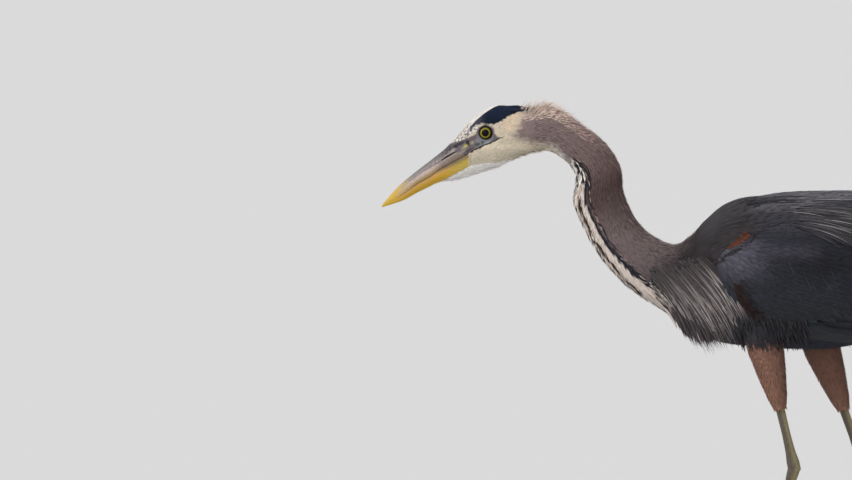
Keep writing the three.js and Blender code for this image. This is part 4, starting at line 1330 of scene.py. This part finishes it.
def build_lower_neck():
    coat = neck_coat("lower_neck_feathers", (11.0, 17.3))
    # loose hairs along the hind neck, pale as a painted rim light
    p, q = rng.uniform(8.0, 17.0, NECK_HAIRS), rng.normal(0, 0.34, NECK_HAIRS)
    coat.lay_back(
        p, q, rng.uniform(10, 18, NECK_HAIRS), 0.9, nape_and_rim_colour,
        root=-2.0, tip=rng.uniform(0.3, 2.2, NECK_HAIRS), thick=0.25,
    )
    coat.finish()


def build_foreneck():
    """Streaks and flecks over the neck's front, on both sides."""
    coat = Coat("foreneck_feathers", "neck_plumage")
    for coat.side in (1, -1):
        p, q = scatter(body, (8.7, 16.9), (math.pi - 1.42, math.pi - 0.86), 4.2, 2.2)
        low = under_angle(q)
        inner = np.interp(p, [8.6, 10.5, 12.5, 15, 17], [0.8, 0.98, 1.10, 1.04, 0.8])
        outer = np.interp(p, [8.4, 10.5, 12.5, 15, 17], [0.95, 1.16, 1.18, 1.16, 0.95])
        keep = (low > inner) & (low < outer)
        p, q = p[keep], q[keep]
        _, along, around, _ = place_on(body, p, q)
        heading = unit(unit(along) - 0.30 * unit(around))
        coat.lay(
            body, p, q, heading, rng.uniform(9, 15, len(p)), 1.9, dyed(streak_tone, 1, 0.85),
            root=-2.2, tip=0.9, thick=0.5, shelf=coat.side,
        )
        # flecks standing a little off the front edge
        p, q = scatter(body, (8.6, 15.5), (math.pi - 0.75, math.pi), 4.0, 2.6)
        coat.lay_back(
            p, q, rng.uniform(9, 16, len(p)), 1.7, fleck_colour,
            root=-2.0, tip=rng.uniform(0.3, 2.2, len(p)), shelf=coat.side,
        )
    coat.finish()


def under_wing(place):
    """Where a folded wing or the long back feathers lie over the body."""
    y, z = place[:, 1], place[:, 2]
    hidden = np.zeros(len(y), bool)
    for surface, first, last in ((wing, -4, 440), (mantle, 35, 365)):
        upper, lower = surface.edges(surface.row_at(y))
        hidden |= (y > first) & (y < last) & (z < upper - 12) & (z > lower + 14)
    return hidden


def shoulder_rise(p, q):
    """How much thicker the coat is over the front of the back."""
    return 5.0 * bell(p - 18.9, 0.95) * ramp(top_angle(q), 1.3, 0.6)


def build_trunk_coat():
    """The trunk's feathers, where the wings and the long back feathers leave it bare."""
    coat = Coat("trunk_feathers", "grey_plumage")
    p, q = scatter(body, (16.8, 26.3), ALL_ROUND, 4.0, 2.5)
    keep = ~under_wing(body(p, q))
    p, q = p[keep], q[keep]
    length = np.interp(p, [17, 19, 22, 26], [20, 24, 32, 40])
    width = np.interp(p, [17, 20, 26], [3.0, 4.0, 6.5])
    root, tip = -coat_depth(p) * 0.9, 0.4 + shoulder_rise(p, q)
    coat.lay_back(p, q, length, width, coat_colour, root=root, tip=tip, dark_root=0.8)
    # a second, looser layer over the shoulders, where the coat stands thicker
    p, q = scatter(body, (17.6, 19.9), (-1.25, 1.25), 4.4, 3.0)
    rise = shoulder_rise(p, q)
    coat.lay_back(p, q, 26, 4.0, coat_colour, rings=4, root=-1.0 + 0.5 * rise, tip=0.4 + rise, dark_root=0.9)
    coat.finish()


# ---------------------------------------------------------------- breast plumes
PLUME_ROOTS = [[-110, 438], [-105, 452], [-92, 460], [-73, 466], [-56, 470], [-42, 471]]  # front to back
PLUME_TIPS = [[-56, 362], [-42, 345], [-16, 338], [6, 348], [20, 363], [28, 386]]
# Layers, lowest first: count, width, lift at the tip, colour, length, then root brightness under painted
# shade, and root depth.
PLUME_LAYERS = (
    (420, 3.6, 0.9, (0.078, 0.066, 0.070), 0.9, 0.9, 2.5),
    (240, 0.9, 2.0, (0.105, 0.092, 0.094), 1.0, 0.6, 0.8),
    (64, 0.95, 3.6, (0.45, 0.405, 0.395), 1.07, 0.16, 0.4),
)
FLANK_COUNT, FLANK_TONE = 620, (0.024, 0.024, 0.029)


def side_reach(y, z):
    """Half width of the body at places in its side view, found from a fine net of its surface."""
    u, a = np.meshgrid(np.linspace(13, 21, 130), np.linspace(0.2, math.pi, 70), indexing="ij")
    net = body(u, a).reshape(-1, 3)
    nearest = [np.argmin(((net[:, 1:] - place) ** 2).sum(1)) for place in pairs(y.ravel(), z.ravel())]
    return net[nearest, 0].reshape(y.shape)


def thigh_reach(name, y, z):
    """Outer side of a thigh at places in its side view; far inside the body where there is none."""
    _, ankle, knee = leg_joints(name)
    share = (z - ankle[2]) / (knee[2] - ankle[2])
    radius = np.interp(share, *np.array(THIGH_RADII).T) * ramp(share, 0.3, 0.4)
    off = y - (ankle[1] + (knee[1] - ankle[1]) * share)
    return FOOT_SPREAD + np.sqrt(np.maximum(radius**2 - off**2, 0)) - 60 * (np.abs(off) > radius)


def hang(coat, name, root, tip, width, lift, colours, dark_root, sink=2.5, pulled=(0.25, 0.6)):
    """Feathers that fall from root to tip, places in the side view, outside the body and the thigh."""
    count = len(root)
    coat.side = LEGS[name][0]
    t = np.linspace(0, 1, 8)
    sag = 0.15 * np.linalg.norm(tip - root, axis=1)[:, None, None]
    path = root[:, None] * (1 - t)[:, None] + tip[:, None] * t[:, None] + sag * (t * (1 - t))[:, None]
    y, z = path[..., 0], path[..., 1]
    surface = np.maximum(side_reach(y, z), thigh_reach(name, y, z))
    out = lift * rng.uniform(0.6, 1.4, (count, 1)) * t + 0.6 - sink * (1 - t) ** 2
    x = np.maximum(surface + out, surface[:, :1] * (1 - t * rng.uniform(*pulled, (count, 1))))
    points = np.concatenate([x[..., None], path], -1)
    normals = unit(np.broadcast_to([1.0, -0.25, -0.15], points.shape))
    coat.add(points, normals, width, colours, "lock", "hair", 0.4, dark_root)
    coat.keep_place(coat.side * (2 - root[:, 0] / 300), root[:, 1] / 100)


def hang_plumes(coat, name, count, width, lift, tone, length, dark_root, sink):
    """One layer of the breast's plumes, with black and cream ones among the first."""
    roots, tips = table(PLUME_ROOTS), table(PLUME_TIPS)
    last = len(PLUME_ROOTS) - 1
    rank = (np.arange(count) + rng.uniform(0, 1, count)) * last / count
    root = roots(rank) + rng.normal(0, 4, (count, 2)) * [0.6, 1]
    tip = tips(np.clip(rank + rng.normal(0, 0.22, count), 0, last)) + rng.normal(0, 3, (count, 2))
    root = root + (tip - root) * rng.uniform(0.0, 0.35, count)[:, None]
    tip = root + (tip - root) * rng.uniform(length - 0.2, length, count)[:, None]
    tone = np.array(tone) * rng.uniform(0.65, 1.2, (count, 1))
    tone = tone * np.interp(tip[:, 1:], [340, 380, 420], [1.15, 0.9, 0.6])
    front = (rank < 0.75) & (rng.random(count) < 0.6)
    cream = rng.random(count) < np.interp(rank, [0, 0.3, 0.5], [0.85, 0.6, 0])
    tone = picked(front, picked(cream, CREAM * 0.95, BLACK * 1.5), tone)
    hang(coat, name, root, tip, width, lift, (tone, tone * 0.5), dark_root, sink)


def hang_flank(coat, name):
    """Flank feathers falling over the top of the thigh."""
    knee_y = LEGS[name][3]
    root = pairs(rng.uniform(knee_y - 32, knee_y + 64, FLANK_COUNT), rng.uniform(364, 402, FLANK_COUNT))
    fall = rng.uniform(10, 28, FLANK_COUNT)
    tip = root + pairs(fall * rng.normal(0.4, 0.12, FLANK_COUNT), -fall * 0.93)
    tone = np.array(FLANK_TONE) * rng.uniform(0.7, 1.3, (FLANK_COUNT, 1))
    hang(coat, name, root, tip, 2.4, 1.2, (tone, tone * 0.8), 0.95, pulled=(0.0, 0.1))


def build_breast_plumes():
    """Long plumes hanging from the lower neck, and the flank's feathers behind them."""
    coat = Coat("breast_plume_feathers", "grey_plumage", ["breast_plumes"])
    for name in LEGS:
        for layer in PLUME_LAYERS:
            hang_plumes(coat, name, *layer)
        hang_flank(coat, name)
    coat.finish()


# ---------------------------------------------------------------- wings
# Lines and outlines in the side view.
WRIST = [[-17, 467], [-10, 477], [0, 485.5], [11, 493], [22, 501]]  # the rufous line at the bend of the wing
LOWER_CHESTNUT = [[10, 434], [13, 424], [18, 414], [24, 402], [34, 392]]
SECONDARY_TIPS = [[75, 384], [120, 373], [170, 362], [215, 364], [262, 383], [305, 406], [345, 428]]
PRIMARY_TIPS = [[385, 448], [402, 454], [420, 461], [438, 470], [452, 476], [458, 482]]
TERTIAL_TIPS = [[330, 462], [365, 475], [395, 488], [418, 497]]
COVERT_EDGE = [
    [10, 418], [38, 388], [60, 384], [95, 386], [150, 394], [230, 414], [280, 440], [310, 462], [350, 486],
]


def lie(down):
    """A heading in the side view, this many degrees below straight back."""
    down = np.radians(down)
    return np.stack([0 * down, np.cos(down), -np.sin(down)], -1)


def along_line(line, share):
    """Places at shares of the way along a line of y, z corners."""
    return table(line)(share * (len(line) - 1))


def wing_tone(points, p=None, q=None):
    """Slate, darker in the middle as painted shade, lilac grey on the bend of the wing with a painted sheen,
    and greyer along the top.
    """
    y, z = points[:, 1], points[:, 2]
    tone = np.array([0.0145, 0.0155, 0.0215]) * (1 + 0.10 * wobble(y, z, 45.0, 7))[:, None]
    tone = mix(tone, (0.016, 0.018, 0.020), ramp(z, 440, 385) * 0.8)
    # painted shade: darker over the middle of the folded wing
    tone = tone * (1.15 - 0.65 * bell(y - 120, 60) * bell(z - 464, 26))[:, None]
    # lilac grey on the bend of the wing, partly a painted sheen
    lilac = ramp(y, 62, 8) * ramp(z, 428, 466) * ramp(z, 505, 488)
    pale = bell(z - 483 + 0.03 * y, 9) * ramp(y, 30, 55) * ramp(y, 130, 90)
    # rufous at the wrist, chestnut below it
    wrist, along = from_line(WRIST, y, z)
    half = np.interp(along, [0, 0.4, 0.6, 1], [0.9, 1.6, 2.8, 4.4]) + 1.0 * wobble(y, z, 7.0, 3)
    lower, _ = from_line(LOWER_CHESTNUT, y, z)
    return painted(
        tone,
        ((0.074, 0.070, 0.092), lilac * (0.8 + 0.2 * wobble(y, z, 12.0, 8))),
        ((0.040, 0.038, 0.050), 0.7 * pale),
        ((0.031, 0.030, 0.038), ramp(z, 496, 515)),
        (mix((0.026, 0.020, 0.025), RUFOUS, ramp(along, -0.2, 0.6)), ramp(wrist, half + 1.0, half - 1.0)),
        (CHESTNUT, 0.9 * ramp(lower, 8.5, 4.0)),
    )


def mantle_tone(points, p=None, q=None):
    """Grey of the back: paler along the top as a painted rim light, browner in front, with a dark patch above
    the wing.
    """
    y, z = points[:, 1], points[:, 2]
    tone = painted(
        (0.040, 0.037, 0.043),
        # painted rim light: paler along the top
        ((0.092, 0.087, 0.098), ramp(z + 0.10 * np.minimum(130 - y, 90), 534, 552)),
        ((0.026, 0.022, 0.024), ramp(y, 60, 10) * 0.8),
        ((0.012, 0.012, 0.026), ramp(np.hypot((y - 156) / 16, (z - 542) / 8), 1.2, 0.7)),
    )
    return tone * (1 + 0.12 * wobble(y, z, 16.0, 9))[:, None]


def shoulder_tone(points, p, q):
    """The wing's colour in front, the back's above a line that rises to the rear."""
    y = points[:, 1]
    below = ramp(points[:, 2] - np.interp(y, [30, 52, 110], [510, 515, 522]), 16, 0)
    return mix(mantle_tone(points), wing_tone(points), ramp(y, 20, 45) * below)


def rufous_colour(points, p, q):
    """The wing's tone where each feather lies, uneven from one to the next."""
    tone = wing_tone(points)
    return tone * rng.uniform(0.5, 1.5, (len(p), 1)), tone * 0.6


flight_colour = dyed((0.018, 0.020, 0.025), 1.1, 0.8)
tertial_colour = dyed((0.024, 0.025, 0.032), 0.9, 1.3)


def wing_roots(y_range, z_of, along, across):
    """Roots in rows from the front back, staggered; z_of gives the lowest and highest z at each y."""
    found = []
    for row, y in enumerate(np.arange(*y_range, along)):
        low, high = z_of(y)
        z = np.arange(low + (row % 2) * across / 2, high, across)
        y = y + rng.uniform(-0.3, 0.3, len(z)) * along
        found.append(pairs(y, z + rng.uniform(-0.25, 0.25, len(z)) * across))
    return np.concatenate(found)


# Tips, count, length, width, degrees the vanes rise at the first and last, heights of root and tip, colour.
FLIGHT_GROUPS = (
    (PRIMARY_TIPS, 10, 190, 22, (1, -2), -4.6, -3.2, flight_colour),
    (SECONDARY_TIPS, 18, 165, 29, (-20, -11), -4.0, -0.8, flight_colour),
    (TERTIAL_TIPS, 8, 170, 30, (-12, -8), -2.4, 0.2, tertial_colour),
)


def build_flight_feathers(name, side):
    """Primaries under secondaries under tertials, each a vane of its own."""
    nodes = [f"wing_{name}_primaries", f"wing_{name}_secondaries"]
    coat = Coat(f"wing_{name}_flight", "flight_plumage", nodes, "vanes", 0.03, 0.5, side)
    for tips, count, length, width, angles, root, tip, colour in FLIGHT_GROUPS:
        order = np.linspace(0, 1, count)
        p, q = wing.find(*along_line(tips, order).T)
        coat.lay(
            wing, p, q, -lie(-np.linspace(*angles, count)), length, width, colour, rings=16, section="vane",
            shape="round", root=root - 0.4 * order, tip=tip - 0.5 * order, thick=0.7, cells=True,
            from_tip=True, dark_root=0.85,
        )
    coat.finish()


# Greater, median and lesser coverts: first and last y, rows apart, feathers apart, length, width, degrees
# down, heights of root and tip, rings, and degrees further down at the front.
COVERT_SETS = (
    ((40, 352), 14, 8.5, 54, 19, 30, -3.4, -0.9, 6, 0),
    ((10, 325), 9, 7.0, 40, 15, 24, -2.6, -0.3, 6, 0),
    ((-18, 130), 6.0, 5.2, 25, 10.5, 18, -2.0, 0.1, 5, 35),
)
# Small rufous feathers: the line, count, length, how they crowd to its far end, and how loosely they lie.
RUFOUS_SETS = ((WRIST, 280, 6.5, 0.5, [0.3, 0.7, 1.8, 3.0]), (LOWER_CHESTNUT, 110, 11, 1, [3.4] * 4))


WING_HAIRS = 40


def covert_reach(y, length):
    """The lowest and highest z at y for the roots of coverts of this length."""
    upper, lower = wing.edges(wing.row_at(y))
    edge = np.interp(y + 0.6 * length, *np.array(COVERT_EDGE).T)
    return max(lower + 4, edge + 0.35 * length), upper - 1


def lay_coverts(coat, y_range, along, across, length, width, down, root, tip, rings, front_down):
    """One set of coverts, in rows."""
    y, z = wing_roots(y_range, lambda y: covert_reach(y, length), along, across).T
    p, q = wing.find(y, z)
    slope = np.interp(z, [400, 470, 530], [1.35, 1.0, 0.15]) * down
    slope = slope + front_down * ramp(y, 25, -15) * ramp(z, 490, 440)
    coat.lay(
        wing, p, q, lie(slope), length, width, dyed(wing_tone, 1.05, 0.9), rings=rings, section="vane",
        shape="soft", root=root, tip=tip, thick=0.3, dark_root=0.95,
    )


def lay_rufous(coat, line, count, length, crowd, loose):
    """Small rufous feathers along a line."""
    share = rng.uniform(0, 1, count) ** crowd
    loose = np.interp(share, [0, 0.35, 0.6, 1], loose)
    p, q = wing.find(*(along_line(line, share) + rng.normal(0, 1, (count, 2)) * loose[:, None]).T)
    coat.lay(
        wing, p, q, lie(rng.normal(30.0, 9, count)), length, 1.9, rufous_colour,
        root=0.2, tip=1.9, thick=0.3, dark_root=0.9,
    )


def lay_wing_hairs(coat):
    """Fine pale hairs lying across the coverts."""
    y, z = rng.uniform(10, 330, WING_HAIRS), rng.uniform(390, 475, WING_HAIRS)
    keep = z > wing.edges(wing.row_at(y))[1] + 18
    p, q = wing.find(y[keep], z[keep])
    coat.lay(
        wing, p, q, lie(rng.uniform(45, 75, len(p))), rng.uniform(12, 30, len(p)), 0.55,
        dyed((0.060, 0.058, 0.062), 1, 0.8, (0.5, 1.3)), rings=4, root=0.2, tip=0.9, thick=0.25,
        bend=(0, 0.3, -0.3),
    )


def build_coverts(name, side):
    """Coverts over the wing, its rufous edges and its pale hairs."""
    nodes = [f"wing_{name}_coverts"]
    coat = Coat(f"wing_{name}_covert_feathers", "flight_plumage", nodes, "vanes", 0.03, 0.22, side)
    for covert_set in COVERT_SETS:
        lay_coverts(coat, *covert_set)
    for rufous_set in RUFOUS_SETS:
        lay_rufous(coat, *rufous_set)
    lay_wing_hairs(coat)
    coat.finish()


def build_wing_lining(name, side):
    """The dark inside of the folded wing, seen between its feathers."""
    p = np.linspace(0.15, 11.6, 60)
    upper, lower = wing.edges(p)
    top, bottom = wing.angle(p, upper) + 0.02, wing.angle(p, lower) - 0.03
    q = blend(top[:, None], bottom[:, None], np.linspace(0, 1, 24))
    surface, _, _, normals = place_on(wing, np.broadcast_to(p[:, None], q.shape), q)
    down = normals * wing.row(p)[:, 4][:, None, None]
    rings = np.concatenate([surface - 0.42 * down, (surface - 0.85 * down)[:, ::-1]], 1)
    rings[..., 0] *= side
    points, faces = loft(rings)
    faces, tint = turned_out(points, faces), np.broadcast_to([0.05, 0.052, 0.062], points.shape)
    maps = {"vane": np.full((faces.size, 2), 0.5)}
    new_mesh(f"wing_{name}_lining", points, faces, "plumage", [], tint, maps)


def mantle_roots():
    """Staggered rows over the back, from the middle line down to a little above the lower edge."""
    found = []
    for k, p in enumerate(np.arange(0.0, 9.8, 0.105)):
        low = mantle.angle(p, mantle.edges(p)[1] + 6)
        q = np.arange(0.02 + (k % 2) * 0.02, low, 4.2 / mantle.row(p)[3])
        found.append(pairs(p + rng.uniform(-0.04, 0.04, len(q)), q))
    return np.concatenate(found).T


# Long plumes, dark ones, then pale ones over them: count, width, colour, heights of root and tip, lengths.
LONG_PLUMES = (
    (420, 3.2, dyed((0.032, 0.030, 0.036), 1, 0.7, (0.7, 1.6)), -1.2, 0.5, (50, 110)),
    (90, 0.75, dyed((0.13, 0.125, 0.13), 1, 0.8, (0.5, 1.1)), -0.8, 1.1, (40, 95)),
    (85, 0.8, dyed((0.36, 0.335, 0.33), 1, 0.8, (0.35, 1.1)), -0.6, 2.4, (45, 120)),
)


SHOULDER_COUNT, TRAILING_COUNT = 1150, 170


def lay_back_feathers(coat):
    """Soft grey feathers over the back."""
    p, q = mantle_roots()
    y = mantle(p, q)[:, 1]
    sunk = np.interp(y, [6, 20, 45, 75], [-6, -3.5, -1.0, 0])
    length, width = np.interp(y, [0, 60, 350], [22, 34, 46]), np.interp(y, [0, 60, 350], [4.2, 5.0, 7.0])
    coat.lay(
        mantle, p, q, lie(np.interp(q, [0, 0.6, 1.3], [0, 7, 16])), length, width,
        dyed(mantle_tone, 1.1, 0.85, (0.85, 1.15)), rings=4, root=-3.2 + sunk, tip=0.2 + 0.7 * sunk,
        bend=(0, 0, -0.12), dark_root=0.85,
    )


def lay_shoulder_feathers(coat):
    """The shoulder's own feathers, over the top of the wing's front."""
    y, z = rng.uniform(-32, 110, SHOULDER_COUNT), rng.uniform(455, 545, SHOULDER_COUNT)
    border = np.interp(y, [-32, -20, -11, 9, 30, 52, 110], [459, 466, 475, 494, 510, 515, 522])
    above = z - border - rng.exponential(4.0, SHOULDER_COUNT) * ramp(y, 5, 40)
    keep = (above > 0) & (z < np.interp(y, [-32, -20, 0, 40, 110], [482, 500, 524, 542, 546]))
    y, z = y[keep], z[keep]
    p, q = wing.find(y, z)
    heading, tip = lie(np.interp(y, [-20, 95], [-8, 12])), 0.5 + np.interp(z, [500, 540], [0, 1.7])
    coat.lay(
        wing, p, q, heading, 24, 4.2, dyed(shoulder_tone, 1.08, 0.88, (0.9, 1.1)),
        rings=5, root=-1.0, tip=tip, thick=0.3, dark_root=0.9, shelf=3.0,
    )


def lay_trailing_feathers(coat):
    """Grey feathers trailing over the tertials."""
    y, z = rng.uniform(225, 372, TRAILING_COUNT), rng.uniform(472, 516, TRAILING_COUNT)
    p, q = mantle.find(y, z)
    down = np.interp(z, [472, 516], [26, 12]) + rng.normal(0, 4, TRAILING_COUNT)
    coat.lay(
        mantle, p, q, lie(down), np.interp(y, [225, 372], [85, 50]), 6.0,
        dyed((0.034, 0.033, 0.040), 1, 0.7, (0.75, 1.3)), rings=7, root=-4.5, tip=-0.5, bend=(0, 0, -0.10),
        dark_root=0.7,
    )


def lay_long_plumes(coat, count, width, colour, root, tip, length):
    """Long narrow plumes lying over the wing."""
    y = 15 + 285 * rng.random(count) ** 0.8
    z = rng.uniform(503, 548, count)
    keep = z > np.interp(y, [15, 60, 105, 300], [538, 522, 505, 499])
    p, q = mantle.find(y[keep], z[keep])
    down = np.interp(z[keep], [503, 548], [24, 2]) + rng.normal(0, 4.5, len(p))
    coat.lay(
        mantle, p, q, lie(down), rng.uniform(*length, len(p)), width, colour, rings=8, root=root, tip=tip,
        thick=0.3, bend=(0, 0, -0.30), dark_root=0.35,
    )


def build_scapulars(name, side):
    """The feathers and plumes over one side of the back."""
    coat = Coat(f"scapular_{name}_feathers", "grey_plumage", [f"scapulars_{name}"], side=side)
    lay_back_feathers(coat)
    lay_shoulder_feathers(coat)
    lay_trailing_feathers(coat)
    for plumes in LONG_PLUMES:
        lay_long_plumes(coat, *plumes)
    coat.finish()


# ---------------------------------------------------------------- tail and thighs
def build_tail():
    """Twelve tail feathers under their coverts."""
    coat = Coat("tail_feathers", "flight_plumage", ["tail"], "vanes", 0.02)
    f = np.linspace(-1, 1, 12)  # from the right to the left
    t = np.linspace(0, 1, 16)[None, :, None]
    root = np.stack([f * 12, 0 * f + 345, 494 - 6 * f**2], -1)[:, None]
    tip = np.stack([f * 27, 472.5 - 10 * f**2, 480 - 8 * f**2], -1)[:, None]
    points = root + (tip - root) * t + 3.0 * UP * t * (1 - t) + 0.55 * UP * (1 - np.abs(f))[:, None, None]
    normals = unit(np.broadcast_to(np.stack([0.35 * f, 0 * f, 0 * f + 1], -1)[:, None], points.shape))
    colours = dyed((0.075, 0.078, 0.098), 1.1, 0.75)(points[:, 0], f, f)
    coat.add(points, normals, 26.0, colours, "vane", "round", 1.0, 0.9)
    coat.keep_place(f, 0 * f, True)
    coat.finish()


def build_tail_coverts():
    """Grey feathers over the rump, and white ones under the tail."""
    coat = Coat("rump_feathers", "grey_plumage")
    p, q = scatter(body, (23.5, 26.2), (-1.5, 1.5), 5, 4)
    looks = {"rings": 5, "thick": 0.6, "shape": "round"}
    grey, white = dyed((0.12, 0.118, 0.135), 1.2, 0.75), dyed(WHITE * 0.7, 1, 0.85)
    coat.lay_back(p, q, 46, 7, grey, root=-1.0, tip=2.2, bend=(0, 0, -0.05), **looks)
    p, q = scatter(body, (23.5, 26.2), (math.pi - 1.4, math.pi + 1.4), 6, 5)
    coat.lay_back(p, q, 48, 7, white, root=-1.5, tip=1.5, **looks)
    coat.finish()


def build_thigh_coat(name):
    """Short rufous feathers over the upper part of the tibia."""
    coat = Coat(f"thigh_{name}_feathers", "rufous_plumage")
    p, q = scatter(thigh(name), (0.375, 0.98), ALL_ROUND, 2.9, 1.8)
    _, ankle, knee = leg_joints(name)
    down = np.broadcast_to(unit(ankle - knee), (len(p), 3))
    length, width = np.interp(p, [0.375, 0.5, 1], [7, 13, 18]), np.interp(p, [0.375, 1], [1.5, 2.4])
    root = -np.interp(p, [0.375, 0.5, 1], [1.2, 4.5, 6.0])
    colour = dyed(THIGH_TONE, 1.15, 0.75, (0.9, 1.12))
    coat.lay(thigh(name), p, q, down, length, width, colour, root=root, thick=0.35, dark_root=0.8)
    coat.finish()


def build_coats():
    """Every coat, in the order that the random draws follow."""
    build_head_coat()
    build_upper_neck()
    build_lower_neck()
    build_foreneck()
    build_trunk_coat()
    build_breast_plumes()
    build_tail()
    build_tail_coverts()
    for name, (side, *_) in LEGS.items():
        build_flight_feathers(name, side)
        build_coverts(name, side)
        build_wing_lining(name, side)
        build_scapulars(name, side)
        build_thigh_coat(name)


# ---------------------------------------------------------------- camera, floor and light
FRAME_MIDDLE = (-0.412, 0.492)  # y, z of the picture's middle at the bird, in metres
CAMERA_AWAY, CAMERA_RISE, FRAME_WIDTH = 15.0, 2.0, 1.159  # metres, degrees, metres
SENSOR_WIDTH, CLIP_END = 36, 500  # millimetres, metres
FLOOR_RADIUS = 120.0
FLOOR_TONE = (0.60, 0.595, 0.58, 1)
# Broad suns: azimuth (0 looks from -Y, 90 from +X), elevation, strength, width in degrees, colour.
SUNS = {
    "key": (45, 38, 2.1, 35, (1.0, 0.965, 0.92)),
    "rim": (245, 58, 1.3, 30, (0.97, 0.98, 1.0)),
    "fill": (72, 4, 0.9, 50, (1.0, 0.98, 0.96)),
}
SKY_COLOUR, SKY_STRENGTH = (0.86, 0.9, 1.0, 1), 0.45


def build_camera():
    """A long lens on the bird's left, looking a little down on it."""
    camera = bpy.data.objects.new("camera", bpy.data.cameras.new("camera"))
    bpy.context.scene.collection.objects.link(camera)
    rise = math.radians(CAMERA_RISE)
    camera.location = (CAMERA_AWAY, FRAME_MIDDLE[0], FRAME_MIDDLE[1] + CAMERA_AWAY * math.tan(rise))
    camera.rotation_euler = (math.pi / 2 - rise, 0, math.pi / 2)
    camera.data.sensor_width = SENSOR_WIDTH
    camera.data.lens = SENSOR_WIDTH * CAMERA_AWAY / math.cos(rise) / FRAME_WIDTH
    camera.data.clip_end = CLIP_END
    bpy.context.scene.camera = camera


def build_floor():
    """A wide pale floor."""
    bpy.ops.mesh.primitive_circle_add(vertices=96, radius=FLOOR_RADIUS, fill_type="NGON")
    floor = bpy.context.object
    floor.name = "floor"
    look = Nodes("floor", Base_Color=FLOOR_TONE, Roughness=0.9, Specular_IOR_Level=0.1)
    floor.data.materials.append(look.material)


def build_sun(name, azimuth, elevation, strength, angle, colour):
    """One broad sun."""
    lamp = bpy.data.lights.new(name, "SUN")
    lamp.energy, lamp.angle, lamp.color = strength, math.radians(angle), colour
    sun = bpy.data.objects.new(name, lamp)
    bpy.context.scene.collection.objects.link(sun)
    sun.rotation_euler = (math.radians(90 - elevation), 0, math.radians(azimuth))


def build_stage():
    """Camera, floor, suns and sky."""
    build_camera()
    build_floor()
    for name, settings in SUNS.items():
        build_sun(name, *settings)
    world = bpy.data.worlds.new("studio")
    world.use_nodes = True
    sky = world.node_tree.nodes["Background"]
    sky.inputs["Color"].default_value = SKY_COLOUR
    sky.inputs["Strength"].default_value = SKY_STRENGTH
    bpy.context.scene.world = world
    bpy.context.scene.view_settings.view_transform = "Standard"


# ---------------------------------------------------------------- everything
build_skin()
build_jaw("bill_upper")
build_jaw("bill_lower")
build_eye("eye_left", 1)
build_eye("eye_right", -1)
for leg in LEGS:
    build_claws(leg)
build_coats()
build_stage()
